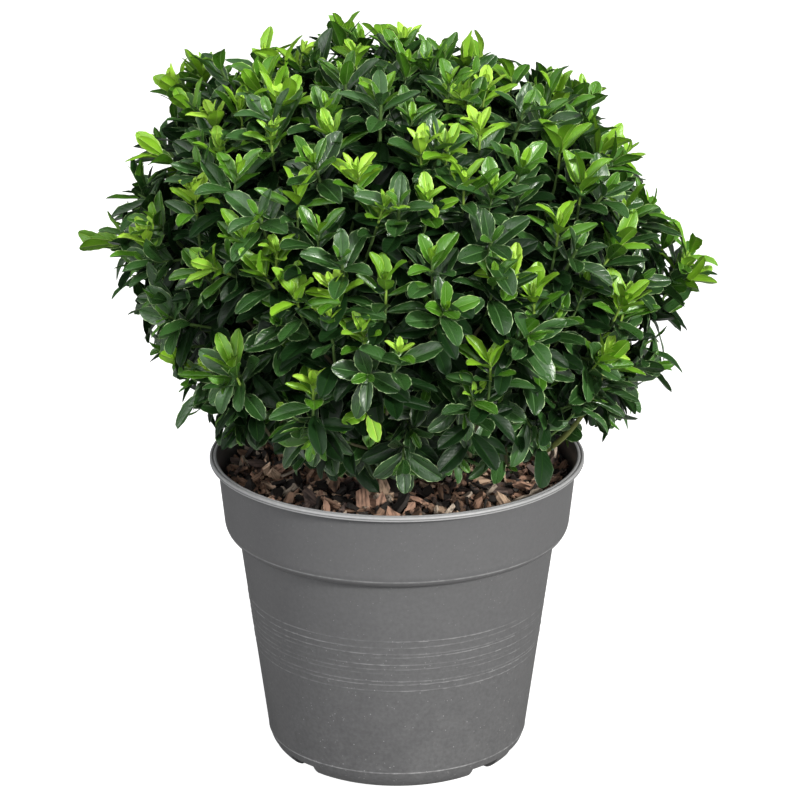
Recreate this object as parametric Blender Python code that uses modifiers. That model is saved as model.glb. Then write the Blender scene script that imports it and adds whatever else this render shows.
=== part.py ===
"""A Japanese spindle grown as a dense ball, standing in its nursery pot.

The pot is a turned shell with a lip, a collar and a foot with drain notches. Potting soil and bark
fill it. A short trunk stands on the soil and forks into seven boughs, one for each mass of foliage.
Each mass is a stem that branches into twigs and leafy shoots round a smaller core.

Lengths are in metres, angles in degrees, +Z is up, and the origin is the middle of the pot's flat
underside. The front of the plant faces -Y.
"""

import math
import random

import bmesh
import bpy
from mathutils import Matrix, Vector
from mathutils.bvhtree import BVHTree

GAP = 0.0003
WELD = 0.00001
SIDES = 40
SHARP_ANGLE = 35.0
UP = Vector((0.0, 0.0, 1.0))
GOLDEN_ANGLE = 137.508

# Pot
POT_HEIGHT = 0.2174
WALL = 0.002
RIM_RADIUS = 0.130
LIP_WIDTH = 0.004
LIP_HEIGHT = 0.0034
LIP_ROUND = 0.001
COLLAR_TOP_RADIUS = 0.1248
COLLAR_LOW_RADIUS = 0.1205
COLLAR_BEND_HEIGHT = 0.172
COLLAR_EDGE_RADIUS = 0.116
COLLAR_EDGE_HEIGHT = 0.163
COLLAR_ROUND = (0.0013, 0.0035)
STEP_SLOPE = 0.0006
BODY_TOP_RADIUS = 0.111
BODY_LOW_RADIUS = 0.092
BODY_LOW_HEIGHT = 0.019
FOOT_RADIUS = 0.080
FOOT_CORNER = (0.0905, 0.004)
FOOT_SHARES = (0.0, 0.35, 0.7, 1.0)
NOTCH_ANGLES = (50.0, 78.0, 102.0, 130.0)
NOTCH_WIDTH = 0.021
NOTCH_HEIGHT = 0.0062
NOTCH_REACH = (0.075, 0.102)

# Soil and bark
SOIL_CLEARANCE = 0.0006
SOIL_TOP = 0.195
BARK_TOP = 0.200
BARK_HOLE_RADIUS = 0.022
BARK_EDGE_RADIUS = 0.1192
CHIP_COUNT = 26
CHIP_LENGTH = (0.012, 0.026)
CHIP_WIDTH = (0.007, 0.013)
CHIP_THICKNESS = 0.0035
CHIP_TILT = 18.0

# Trunk and boughs
TRUNK_FLARE_RADIUS = 0.0165
TRUNK_RADIUS = 0.0095
TRUNK_TOP = 0.232
TRUNK_LEAN = 0.004
TRUNK_SHARES = (0.0, 0.12, 0.3, 0.6, 1.0)
FLARE_DECAY = 6.0
ROOT_COUNT = 4
ROOT_AZIMUTH = 35.0
ROOT_RADII = (0.0045, 0.00225)
ROOT_START = (0.006, 0.013)
ROOT_END = (0.0195, 0.001)
GROUND_BLOCK = 0.2
FORK_LENGTH = 0.026
FORK_DROPS = (0.004, 0.011)
STUB_FLARE = 1.15
BOUGH_RADIUS = 0.0048
LEADER_RADIUS = 0.0058
BOUGH_TIP_RADIUS = 0.0030
BOUGH_BEND = (0.046, 0.296)
BOUGH_END = (0.076, 0.294)
LEADER_END_HEIGHT = 0.412
BOUGH_POINTS = 7

# Crown: how far its leaf tips reach from its centre, and the space of each mass
CROWN_CENTRE = Vector((0.0, 0.0, 0.360))
CROWN_RADIUS = 0.211
CROWN_RISE = 0.163
CROWN_DROP = 0.206
CROWN_LEAN = -0.10
UPPER_POWER = 2.25
LOWER_POWER = 1.8
CROWN_FLOOR = 0.2075
SIDE_MASSES = 6
FIRST_AZIMUTH = 20.0
SIDE_ELEVATION = -8.0
MASS_MARGIN = 0.0010
LIMB_MARGIN = 0.0035
LEAF_MARGIN = 0.008
PATH_SAMPLES = 8
RIM_CLEAR_RADIUS = 0.119
RIM_CLEAR_HEIGHT = 0.2225
CORE_MARGIN = 0.004
CORE_STEP = 0.002
CORE_FLOOR = 0.216
CORE_REACH = (0.42, 0.81)
MASS_MIDDLE = 0.57

# Twigs, shoots and leaves
SEED = 12
SHOOT_COUNT = 108
LOWEST_SHOOT = -0.84
SHOOT_REACH = (0.71, 0.87)
SHOOT_VARIATION = 0.04
SHOOT_SPREAD = 0.20
SHOOT_LIFT = 0.42
SHOOT_DROOP = 0.75
TWIG_RADIUS = 0.0028
TWIG_TAPER = 0.65
TWIG_SIDES = 3
STEM_LENGTH = 0.014
STEM_OVERLAP = 0.004
LEAF_LENGTH = 0.050
LEAF_WIDTH = 0.0215
LEAF_THICKNESS = 0.0018
LEAF_ROOT = 0.0008
LEAF_SHOULDERS = ((0.30, 0.37), (0.68, 0.50))
LEAF_NODES = ((0.52, 68.0, 1.05), (0.78, 50.0, 1.0), (0.98, 28.0, 0.84))
LEAF_SIZES = (0.9, 1.06)
LEAF_SWING = (-12.0, 8.0)
LEAF_TURN = 23.0
LEAF_SHRINK = 0.05
LEAF_REACH = 1.03
TRIES = 7

PLASTIC = ("pot_grey_plastic", (0.135, 0.138, 0.142), 0.55)
SOIL = ("potting_soil", (0.035, 0.022, 0.014), 0.95)
BARK_CHIPS = ("bark_chips", (0.16, 0.085, 0.05), 0.9)
STEM_BARK = ("stem_bark", (0.20, 0.17, 0.11), 0.85)
GREEN = ("foliage_green", (0.045, 0.16, 0.03), 0.4)


def clear_scene():
    """Removes the objects that the file opened with."""
    for obj in list(bpy.data.objects):
        bpy.data.objects.remove(obj)


def new_collection(name):
    """A collection of that name, linked to the scene."""
    collection = bpy.data.collections.new(name)
    bpy.context.scene.collection.children.link(collection)
    return collection


def material(finish):
    """The material of a (name, colour, roughness) finish, made the first time it is asked for."""
    name, colour, roughness = finish
    made = bpy.data.materials.get(name)
    if made is None:
        made = bpy.data.materials.new(name)
        made.use_nodes = True
        shader = made.node_tree.nodes["Principled BSDF"]
        shader.inputs["Base Color"].default_value = (*colour, 1.0)
        shader.inputs["Roughness"].default_value = roughness
        shader.inputs["Metallic"].default_value = 0.0
    return made


def add_object(name, data, collection, finish):
    """An object with that mesh or curve, in the collection, with its finish."""
    obj = bpy.data.objects.new(name, data)
    collection.objects.link(obj)
    if not data.materials:
        data.materials.append(material(finish))
    return obj


def mesh_from(name, build):
    """A mesh whose shape the function build makes in an empty bmesh."""
    shape = bmesh.new()
    build(shape)
    mesh = bpy.data.meshes.new(name)
    shape.to_mesh(mesh)
    shape.free()
    return mesh


def cube_mesh(name):
    """A cube of unit size round the origin."""
    return mesh_from(name, lambda shape: bmesh.ops.create_cube(shape, size=1.0))


def on_circle(radius, azimuth, height=0.0):
    """The point at that radius and height, at an azimuth from +X towards +Y."""
    angle = math.radians(azimuth)
    return Vector((radius * math.cos(angle), radius * math.sin(angle), height))


def turn_along(start, end):
    """A rotation whose Z axis runs from start to end, and whose X axis points as far up as it can."""
    z_axis = (end - start).normalized()
    x_axis = UP - z_axis * UP.dot(z_axis)
    if x_axis.length < WELD:
        x_axis = Vector((1.0, 0.0, 0.0))
    x_axis.normalize()
    return Matrix((x_axis, z_axis.cross(x_axis), z_axis)).transposed().to_4x4()


def bezier(start, corner, end, share):
    """The point at that share of a quadratic Bezier curve."""
    back = 1.0 - share
    return tuple(
        back * back * a + 2.0 * back * share * b + share * share * c
        for a, b, c in zip(start, corner, end)
    )


def turned(name, profile, collection, finish):
    """A solid of revolution. The profile's (radius, height) points run down its outer side."""
    mesh = bpy.data.meshes.new(name)
    points = [(radius, 0.0, height) for radius, height in profile]
    edges = [(i, i + 1) for i in range(len(points) - 1)]
    if profile[0][0] > 0.0:
        edges.append((len(points) - 1, 0))
    mesh.from_pydata(points, edges, [])
    obj = add_object(name, mesh, collection, finish)
    screw = obj.modifiers.new("Turn", "SCREW")
    screw.angle = math.tau
    screw.steps = SIDES
    screw.render_steps = SIDES
    screw.use_merge_vertices = True
    screw.merge_threshold = WELD
    screw.use_smooth_shade = False
    return obj


def evaluated_mesh(obj):
    """A mesh of the object as its modifiers leave it."""
    bpy.context.view_layer.update()
    graph = bpy.context.evaluated_depsgraph_get()
    return bpy.data.meshes.new_from_object(obj.evaluated_get(graph))


def shell_of(start, seen):
    """All the faces that hang together with a face, marked in the set seen."""
    shell = [start]
    seen.add(start)
    for face in shell:
        for edge in face.edges:
            for other in edge.link_faces:
                if other not in seen:
                    seen.add(other)
                    shell.append(other)
    return shell


def keep_largest_shell(mesh):
    """Fills hollows that a union sealed and drops loose scraps, by keeping the outer shell alone."""
    shape = bmesh.new()
    shape.from_mesh(mesh)
    seen = set()
    shells = [shell_of(face, seen) for face in shape.faces if face not in seen]
    for shell in sorted(shells, key=len)[:-1]:
        bmesh.ops.delete(shape, geom=shell, context="FACES")
    shape.to_mesh(mesh)
    shape.free()


def join_collection(obj, pieces, operation="UNION", solver="EXACT"):
    """Joins or cuts obj with every object of a collection, then removes that collection."""
    boolean = obj.modifiers.new("Join", "BOOLEAN")
    boolean.operation = operation
    boolean.operand_type = "COLLECTION"
    boolean.collection = pieces
    boolean.solver = solver
    mesh = evaluated_mesh(obj)
    keep_largest_shell(mesh)
    finish = obj.data.materials[0]
    obj.modifiers.clear()
    obj.data = mesh
    mesh.materials.clear()
    mesh.materials.append(finish)
    for piece in list(pieces.objects):
        bpy.data.objects.remove(piece)
    bpy.data.collections.remove(pieces)


def shade_round(obj):
    """Shades a turned or rounded piece smooth, but for its sharp edges."""
    obj.data.shade_smooth()
    obj.data.set_sharp_from_angle(angle=math.radians(SHARP_ANGLE))


def wall_profile(inset):
    """The pot's side from the collar's top to the foot, moved inwards by inset."""
    foot_start = (BODY_LOW_RADIUS - inset, BODY_LOW_HEIGHT)
    foot_corner = (FOOT_CORNER[0] - inset, FOOT_CORNER[1] + inset)
    foot_end = (FOOT_RADIUS, inset)
    round_in, round_up = COLLAR_ROUND
    return [
        (COLLAR_TOP_RADIUS - inset, POT_HEIGHT - LIP_HEIGHT - inset),
        (COLLAR_LOW_RADIUS - inset, COLLAR_BEND_HEIGHT + inset / 2.0),
        (COLLAR_LOW_RADIUS - round_in - inset, COLLAR_EDGE_HEIGHT + round_up + inset),
        (COLLAR_EDGE_RADIUS - inset, COLLAR_EDGE_HEIGHT + inset),
        (BODY_TOP_RADIUS - inset, COLLAR_EDGE_HEIGHT + STEP_SLOPE + inset),
        *(bezier(foot_start, foot_corner, foot_end, share) for share in FOOT_SHARES),
    ]


def add_pot(collection):
    """The nursery pot: base, body, collar and lip in one wall, with drain notches round its foot."""
    lip_inner = RIM_RADIUS - LIP_WIDTH
    lip = [
        (lip_inner - LIP_ROUND, POT_HEIGHT - LIP_ROUND),
        (lip_inner, POT_HEIGHT),
        (RIM_RADIUS - LIP_ROUND, POT_HEIGHT),
        (RIM_RADIUS, POT_HEIGHT - LIP_ROUND),
        (RIM_RADIUS, POT_HEIGHT - LIP_HEIGHT),
    ]
    inner = reversed(wall_profile(WALL))
    profile = [(0.0, WALL), *inner, *lip, *wall_profile(0.0), (0.0, 0.0)]
    pot = turned("pot", profile, collection, PLASTIC)
    cutters = new_collection("pot_cutters")
    block = cube_mesh("notch")
    near, far = NOTCH_REACH
    size = Matrix.Diagonal((far - near, NOTCH_WIDTH, 2.0 * NOTCH_HEIGHT, 1.0))
    for side in (-1.0, 1.0):
        for angle in NOTCH_ANGLES:
            azimuth = -90.0 + side * angle
            cutter = add_object("notch", block, cutters, PLASTIC)
            turn = Matrix.Rotation(math.radians(azimuth), 4, "Z")
            cutter.matrix_world = Matrix.Translation(on_circle((near + far) / 2.0, azimuth)) @ turn @ size
    join_collection(pot, cutters, "DIFFERENCE")
    shade_round(pot)


def add_soil(collection):
    """The root ball that fills the pot up to a flat top, a little clear of the wall."""
    inset = WALL + SOIL_CLEARANCE
    profile = [
        (0.0, SOIL_TOP),
        (COLLAR_LOW_RADIUS - inset, SOIL_TOP),
        (COLLAR_LOW_RADIUS - inset, COLLAR_BEND_HEIGHT + inset),
        (BODY_TOP_RADIUS - inset, COLLAR_EDGE_HEIGHT + inset),
        (BODY_LOW_RADIUS - inset, BODY_LOW_HEIGHT),
        (FOOT_RADIUS - inset, inset),
        (0.0, inset),
    ]
    turned("potting_soil", profile, collection, SOIL)


def add_bark(collection, rng):
    """The layer of bark on the soil, open round the trunk's foot, with chips that stand out of it."""
    low = SOIL_TOP + GAP
    profile = [
        (BARK_HOLE_RADIUS, BARK_TOP),
        (BARK_EDGE_RADIUS, BARK_TOP),
        (BARK_EDGE_RADIUS, low),
        (BARK_HOLE_RADIUS, low),
    ]
    layer = turned("bark_layer", profile, collection, BARK_CHIPS)
    chips = new_collection("chips")
    block = cube_mesh("chip")
    for index in range(CHIP_COUNT):
        length = rng.uniform(*CHIP_LENGTH)
        inner = BARK_HOLE_RADIUS + length / 2.0
        outer = BARK_EDGE_RADIUS - length / 2.0 - GAP
        share = math.sqrt((index + 0.5) / CHIP_COUNT)
        turn = Matrix.Rotation(rng.uniform(0.0, math.tau), 4, "Z")
        tilt = math.radians(rng.uniform(-CHIP_TILT, CHIP_TILT))
        size = Matrix.Diagonal((length, rng.uniform(*CHIP_WIDTH), CHIP_THICKNESS, 1.0))
        drop = (length * abs(math.sin(tilt)) + CHIP_THICKNESS) / 2.0
        height = max(BARK_TOP, low + drop + GAP)
        middle = on_circle(inner + (outer - inner) * share, index * GOLDEN_ANGLE, height)
        chip = add_object("chip", block, chips, BARK_CHIPS)
        chip.matrix_world = Matrix.Translation(middle) @ turn @ Matrix.Rotation(tilt, 4, "Y") @ size
    join_collection(layer, chips)


def limb_curve(name, points, radii, collection, resolution=1):
    """A limb as a bevelled poly curve, with a radius at each point and filled, flat ends."""
    curve = bpy.data.curves.new(name, "CURVE")
    curve.dimensions = "3D"
    curve.bevel_depth = 1.0
    curve.bevel_resolution = resolution
    curve.use_fill_caps = True
    spline = curve.splines.new("POLY")
    spline.points.add(len(points) - 1)
    for knot, point, radius in zip(spline.points, points, radii):
        knot.co = (*point, 1.0)
        knot.radius = radius
    return add_object(name, curve, collection, STEM_BARK)


def mesh_limb(name, points, radii, collection, resolution=1):
    """A limb made a mesh with its caps welded on, so that a Boolean can take it."""
    curved = limb_curve(name, points, radii, collection, resolution)
    mesh = evaluated_mesh(curved)
    place = curved.matrix_world.copy()
    bpy.data.objects.remove(curved)
    shape = bmesh.new()
    shape.from_mesh(mesh)
    bmesh.ops.remove_doubles(shape, verts=shape.verts, dist=WELD)
    shape.to_mesh(mesh)
    shape.free()
    limb = add_object(name, mesh, collection, STEM_BARK)
    limb.matrix_world = place
    return limb


def side_azimuth(index):
    """The azimuth of one of the side masses."""
    return FIRST_AZIMUTH + 360.0 * index / SIDE_MASSES


def bough_plans():
    """The fork point, bend and far end of each bough, by the name of its mass."""
    fork_top = Vector((TRUNK_LEAN, 0.0, TRUNK_TOP))
    leader_bend = Vector((2.0 * TRUNK_LEAN, TRUNK_LEAN, (TRUNK_TOP + LEADER_END_HEIGHT) / 2.0))
    plans = {"top": (fork_top, leader_bend, Vector((0.0, 0.0, LEADER_END_HEIGHT)))}
    for index in range(SIDE_MASSES):
        azimuth = side_azimuth(index)
        fork = fork_top - UP * FORK_DROPS[index % len(FORK_DROPS)]
        bend = on_circle(BOUGH_BEND[0], azimuth, BOUGH_BEND[1])
        end = on_circle(BOUGH_END[0], azimuth, BOUGH_END[1])
        plans[f"side_{index + 1}"] = (fork, bend, end)
    return plans


def bough_radius(name):
    """The radius of the bough of that mass where it leaves the trunk."""
    return LEADER_RADIUS if name == "top" else BOUGH_RADIUS


def add_trunk(collection, plans):
    """The short trunk with its root flare, from a flat cut on the soil to the fork's stubs."""
    foot = SOIL_TOP + GAP
    rise = TRUNK_TOP - foot
    points = [Vector((TRUNK_LEAN * s * s, 0.0, foot + rise * s)) for s in TRUNK_SHARES]
    flare = TRUNK_FLARE_RADIUS - TRUNK_RADIUS
    radii = [TRUNK_RADIUS + flare * math.exp(-FLARE_DECAY * s) for s in TRUNK_SHARES]
    trunk = mesh_limb("trunk", points, radii, collection, resolution=3)
    forks = new_collection("forks")
    for name, (fork, bend, _end) in plans.items():
        heading = (bend - fork).normalized()
        radius = bough_radius(name)
        stub = [fork - heading * radius, fork + heading * (FORK_LENGTH - GAP)]
        mesh_limb(f"stub_{name}", stub, [radius * STUB_FLARE, radius], forks)
    for index in range(ROOT_COUNT):
        azimuth = ROOT_AZIMUTH + 360.0 * index / ROOT_COUNT
        start = on_circle(ROOT_START[0], azimuth, foot + ROOT_START[1])
        end = on_circle(ROOT_END[0], azimuth, foot + ROOT_END[1])
        mesh_limb(f"root_{index}", [start, end], ROOT_RADII, forks)
    join_collection(trunk, forks)
    cutters = new_collection("ground_cutters")
    cutter = add_object("ground_cut", cube_mesh("ground_cut"), cutters, STEM_BARK)
    size = Matrix.Diagonal((GROUND_BLOCK, GROUND_BLOCK, GROUND_BLOCK, 1.0))
    cutter.matrix_world = Matrix.Translation(UP * (foot - GROUND_BLOCK / 2.0)) @ size
    join_collection(trunk, cutters, "DIFFERENCE")
    shade_round(trunk)


def add_bough(name, plan, collection):
    """One bough from its stub's cut, over its bend, to its mass. Returns its line."""
    fork, bend, end = plan
    heading = (bend - fork).normalized()
    start = fork + heading * FORK_LENGTH
    shares = [index / (BOUGH_POINTS - 1) for index in range(BOUGH_POINTS)]
    points = [Vector(bezier(start, bend, end, s)) for s in shares]
    points[1] = start + heading * (points[1] - start).length
    radius = bough_radius(name)
    radii = [radius + (BOUGH_TIP_RADIUS - radius) * s for s in shares]
    limb_curve(f"bough_{name}", points, radii, collection)
    return points


def limb_segments(plans, boughs):
    """Every straight stretch of the trunk and boughs, as its two ends and its radius."""
    foot = Vector((0.0, 0.0, SOIL_TOP))
    segments = [(foot, Vector((TRUNK_LEAN, 0.0, TRUNK_TOP)), TRUNK_RADIUS)]
    for name, points in boughs.items():
        line = [plans[name][0], *points]
        segments += [(start, end, bough_radius(name)) for start, end in zip(line, line[1:])]
    return segments


def reach(direction):
    """How far the crown reaches from its centre along a unit direction."""
    across = math.hypot(direction.x - CROWN_LEAN * direction.z, direction.y) / CROWN_RADIUS
    rising = direction.z > 0.0
    along = abs(direction.z) / (CROWN_RISE if rising else CROWN_DROP)
    power = UPPER_POWER if rising else LOWER_POWER
    return (across**power + along**power) ** (-1.0 / power)


def mass_axes():
    """The unit direction from the crown's centre to each mass, by name."""
    slope = math.radians(SIDE_ELEVATION)
    axes = {"top": UP.copy()}
    for index in range(SIDE_MASSES):
        axes[f"side_{index + 1}"] = on_circle(math.cos(slope), side_azimuth(index), math.sin(slope))
    return axes


def in_own_cell(point, name, axes):
    """True where the point is nearer this mass's axis than any other's, by the masses' margin."""
    away = point - CROWN_CENTRE
    own = axes[name]
    for other, axis in axes.items():
        if other != name and away.dot((own - axis).normalized()) < MASS_MARGIN:
            return False
    return True


def clear_of_pot(point):
    """True where the point is over the rim, or well inside it and over the bark."""
    radius = math.hypot(point.x, point.y)
    if point.z < RIM_CLEAR_HEIGHT and radius > RIM_CLEAR_RADIUS:
        return False
    return point.z > CROWN_FLOOR


def clear_of_limbs(point, limbs, margin):
    """True where the point is further from every limb's line than the margin and its radius."""
    for start, end, radius in limbs:
        along = end - start
        share = max(0.0, min(1.0, (point - start).dot(along) / along.length_squared))
        if (point - start - along * share).length < radius + margin:
            return False
    return True


def path_clear(start, end, limbs, margin):
    """True where a straight piece from start to end keeps that far from every limb."""
    shares = [index / PATH_SAMPLES for index in range(PATH_SAMPLES + 1)]
    return all(clear_of_limbs(start.lerp(end, share), limbs, margin) for share in shares)


def in_space(points, name, axes, limbs, most):
    """True where all the points lie in the mass's own space, within that share of the reach."""
    for point in points:
        away = point - CROWN_CENTRE
        if away.length > most * reach(away.normalized()):
            return False
        if not in_own_cell(point, name, axes) or not clear_of_pot(point):
            return False
    return path_clear(points[0], points[-1], limbs, LEAF_MARGIN)


def core_edge(middle, direction, name, axes, bough):
    """How far the core may reach from the mass's middle along a direction, beyond its bough's end."""
    heading = (bough[-1] - bough[-2]).normalized()
    near, most = CORE_REACH
    far = CORE_STEP
    while far < CROWN_RADIUS:
        point = middle + direction * far
        away = point - CROWN_CENTRE
        inside = near < away.length / reach(away.normalized()) < most
        beyond = (point - bough[-1]).dot(heading) > CORE_MARGIN and point.z > CORE_FLOOR
        if not (inside and beyond and in_own_cell(point, name, axes) and clear_of_pot(point)):
            break
        far += CORE_STEP
    return far - CORE_STEP


def add_core(name, middle, axes, bough, collection):
    """The smaller, dense heart of a mass: a ball pushed out to the edges of the mass's own space."""

    def build(shape):
        bmesh.ops.create_icosphere(shape, subdivisions=2, radius=1.0)
        for vertex in shape.verts:
            direction = vertex.co.normalized()
            vertex.co = middle + direction * core_edge(middle, direction, name, axes, bough)

    return add_object(f"foliage_{name}", mesh_from(f"core_{name}", build), collection, GREEN)


def leaf_mesh():
    """One leaf of eight faces: the hull of its two ends and four raised shoulders, X along it."""
    shoulders = [(x, side * y, 1.0) for x, y in LEAF_SHOULDERS for side in (1.0, -1.0)]

    def build(shape):
        for point in [(0.0, 0.0, 0.0), *shoulders, (1.0, 0.0, 0.0)]:
            shape.verts.new(point)
        bmesh.ops.convex_hull(shape, input=shape.verts)

    return mesh_from("leaf", build)


def twig_mesh():
    """A tapering twig of unit length and unit thickness, from its thick end at the origin."""

    def build(shape):
        made = bmesh.ops.create_cone(
            shape, cap_ends=True, segments=TWIG_SIDES, radius1=1.0, radius2=TWIG_TAPER, depth=1.0
        )
        bmesh.ops.translate(shape, verts=made["verts"], vec=UP / 2.0)

    return mesh_from("twig", build)


def add_twig(start, end, radius, mesh, pieces):
    """A twig from start to end, of that radius at its start."""
    twig = add_object("twig", mesh, pieces, GREEN)
    size = Matrix.Diagonal((radius, radius, (end - start).length, 1.0))
    twig.matrix_world = Matrix.Translation(start) @ turn_along(start, end) @ size


def leaf_matrix(node, heading, side, opening, length):
    """Where a leaf goes that opens from its shoot by an angle, its upper face to the shoot's tip."""
    angle = math.radians(opening)
    along = (heading * math.cos(angle) + side * math.sin(angle)).normalized()
    normal = (heading * math.sin(angle) - side * math.cos(angle)).normalized()
    turn = Matrix((along, normal.cross(along), normal)).transposed().to_4x4()
    scale = length / LEAF_LENGTH
    size = Matrix.Diagonal((length, LEAF_WIDTH * scale, LEAF_THICKNESS * scale, 1.0))
    return Matrix.Translation(node - along * LEAF_ROOT) @ turn @ size


def shoot_plans(name, axes, rng):
    """The base and tip of each shoot of a mass, spread over the crown by the golden angle."""
    near, far = SHOOT_REACH
    plans = []
    for index in range(SHOOT_COUNT):
        rise = 1.0 - (1.0 - LOWEST_SHOOT) * (index + 0.5) / SHOOT_COUNT
        out = on_circle(math.sqrt(1.0 - rise * rise), index * GOLDEN_ANGLE, rise)
        sway = Vector([rng.uniform(-SHOOT_SPREAD, SHOOT_SPREAD) for _ in range(3)])
        change = rng.uniform(-SHOOT_VARIATION, SHOOT_VARIATION)
        if max(axes, key=lambda key: out.dot(axes[key])) == name:
            base = CROWN_CENTRE + out * (near * reach(out))
            heading = (out + UP * (SHOOT_LIFT + SHOOT_DROOP * min(rise, 0.0)) + sway).normalized()
            plans.append((base, base + heading * ((far - near + change) * reach(out))))
    return plans


def crosses_another(place, leaf, placed):
    """True where a leaf at that place would cut through a leaf that is placed already."""
    points = [place @ vertex.co for vertex in leaf.vertices]
    middle = sum(points, Vector()) / len(points)
    tree = BVHTree.FromPolygons(points, [tuple(face.vertices) for face in leaf.polygons])
    for other_middle, other_tree in placed:
        if (middle - other_middle).length < LEAF_LENGTH and tree.overlap(other_tree):
            return True
    placed.append((middle, tree))
    return False


def add_leaf(node, heading, side, shape, space, mesh, pieces, placed, rng):
    """Tries one leaf at a node. Returns whether it keeps to its space and clear of other leaves."""
    opening, length = shape
    size = length * rng.uniform(*LEAF_SIZES)
    place = leaf_matrix(node, heading, side, opening + rng.uniform(*LEAF_SWING), size)
    corners = [place @ vertex.co for vertex in mesh.vertices]
    off_twig = Matrix.Translation(side * (2.0 * TWIG_RADIUS)) @ place
    if not in_space(corners, *space, LEAF_REACH) or crosses_another(off_twig, mesh, placed):
        return False
    add_object("leaf", mesh, pieces, GREEN).matrix_world = place
    return True


def add_shoot(base, tip, space, meshes, pieces, placed, rng):
    """One leafy shoot: its twig, and a pair of leaves at each node, turned a quarter from the last."""
    leaf, twig = meshes
    if not in_space([base, tip], *space, 1.0):
        return
    add_twig(base, tip, TWIG_RADIUS, twig, pieces)
    heading = (tip - base).normalized()
    first_side = turn_along(base, tip).to_3x3().col[0]
    first_turn = rng.uniform(0.0, 180.0)
    for step, (share, opening, scale) in enumerate(LEAF_NODES):
        node = base.lerp(tip, share)
        for half in range(2):
            for attempt in range(TRIES):
                turn = first_turn + 90.0 * step + 180.0 * half + rng.uniform(-LEAF_TURN, LEAF_TURN)
                side = Matrix.Rotation(math.radians(turn), 3, heading) @ first_side
                shape = (opening, LEAF_LENGTH * scale * (1.0 - LEAF_SHRINK * attempt))
                if add_leaf(node, heading, side, shape, space, leaf, pieces, placed, rng):
                    break


def add_mass(name, axes, bough, limbs, meshes, collection):
    """One mass of foliage: its stem from the bough's tip, its core, and twigs that end in shoots."""
    rng = random.Random(f"{SEED} {name}")
    twig = meshes[1]
    middle = CROWN_CENTRE + axes[name] * (MASS_MIDDLE * reach(axes[name]))
    core = add_core(name, middle, axes, bough, collection)
    pieces = new_collection(f"pieces_{name}")
    heading = (bough[-1] - bough[-2]).normalized()
    stem_start = bough[-1] + heading * GAP
    bend = stem_start + heading * STEM_LENGTH
    add_twig(stem_start, bend, BOUGH_TIP_RADIUS, twig, pieces)
    add_twig(bend - heading * STEM_OVERLAP, middle, BOUGH_TIP_RADIUS, twig, pieces)
    placed = []
    for base, tip in shoot_plans(name, axes, rng):
        if path_clear(middle, base, limbs, LIMB_MARGIN):
            add_twig(middle, base, TWIG_RADIUS, twig, pieces)
            add_shoot(base, tip, (name, axes, limbs), meshes, pieces, placed, rng)
    join_collection(core, pieces, solver="MANIFOLD")


def main():
    """Builds the pot, its filling, the limbs and the masses of foliage."""
    clear_scene()
    parts = new_collection("potted_japanese_spindle")
    add_pot(parts)
    add_soil(parts)
    add_bark(parts, random.Random(SEED))
    plans = bough_plans()
    add_trunk(parts, plans)
    boughs = {name: add_bough(name, plan, parts) for name, plan in plans.items()}
    limbs = limb_segments(plans, boughs)
    axes = mass_axes()
    meshes = (leaf_mesh(), twig_mesh())
    for name in axes:
        add_mass(name, axes, boughs[name], limbs, meshes, parts)


main()
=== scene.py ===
"""Dresses the potted Japanese spindle: its nursery pot, its filling, its wood and its crown.

Lengths are in metres, +Z is up, the origin is the middle of the pot's flat underside and the front
of the plant faces -Y. Every new piece is a surface that is worked out with whole arrays.
"""

import logging
import math
import random
from dataclasses import dataclass, field
from enum import Enum, IntEnum

import bpy
import numpy as np
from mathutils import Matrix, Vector
from numpy.typing import NDArray


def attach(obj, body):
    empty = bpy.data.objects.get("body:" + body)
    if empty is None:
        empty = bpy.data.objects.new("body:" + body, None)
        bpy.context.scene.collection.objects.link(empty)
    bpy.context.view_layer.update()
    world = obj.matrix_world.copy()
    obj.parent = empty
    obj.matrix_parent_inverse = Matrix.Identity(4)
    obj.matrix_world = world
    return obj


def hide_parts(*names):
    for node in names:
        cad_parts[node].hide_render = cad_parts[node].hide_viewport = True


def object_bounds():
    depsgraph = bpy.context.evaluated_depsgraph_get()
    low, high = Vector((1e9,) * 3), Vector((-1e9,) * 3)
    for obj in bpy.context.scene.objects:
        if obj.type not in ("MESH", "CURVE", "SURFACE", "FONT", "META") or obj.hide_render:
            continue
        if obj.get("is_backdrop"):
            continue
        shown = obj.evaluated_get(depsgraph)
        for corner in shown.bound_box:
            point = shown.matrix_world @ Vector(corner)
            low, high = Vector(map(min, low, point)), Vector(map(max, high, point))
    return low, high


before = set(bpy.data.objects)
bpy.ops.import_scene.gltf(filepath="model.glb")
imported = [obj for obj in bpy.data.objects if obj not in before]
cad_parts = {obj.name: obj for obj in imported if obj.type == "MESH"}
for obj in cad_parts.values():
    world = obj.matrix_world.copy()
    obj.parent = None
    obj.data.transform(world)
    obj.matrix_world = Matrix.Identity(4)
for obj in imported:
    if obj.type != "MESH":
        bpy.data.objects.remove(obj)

LOG = logging.getLogger("potted_japanese_spindle")
BODY = "root"
GOLDEN_TURN = math.radians(137.508)
MM = 0.001

Array = NDArray[np.float64]
Whole = NDArray[np.int64]
Colour = tuple[float, float, float]
UP = np.array((0.0, 0.0, 1.0))
ASIDE = np.array((1.0, 0.0, 0.0))


class Slot(Enum):
    """The record's material slots."""

    POT = "pot_plastic"
    SOIL = "potting_soil"
    CHIPS = "bark_chips"
    BARK = "stem_bark"
    FOLIAGE = "foliage"


class Age(IntEnum):
    """How old a leaf is, from the lime of a new tip to the deep green of old growth, which is darkened to
    near-black as painted shade deep in the crown.
    """

    LIME = 0
    FRESH = 1
    MIDDLE = 2
    MATURE = 3
    OLD = 4


def unit(vectors: Array) -> Array:
    """The vectors, each divided by its own length."""
    return vectors / np.maximum(np.linalg.norm(vectors, axis=-1, keepdims=True), 1e-12)


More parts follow.
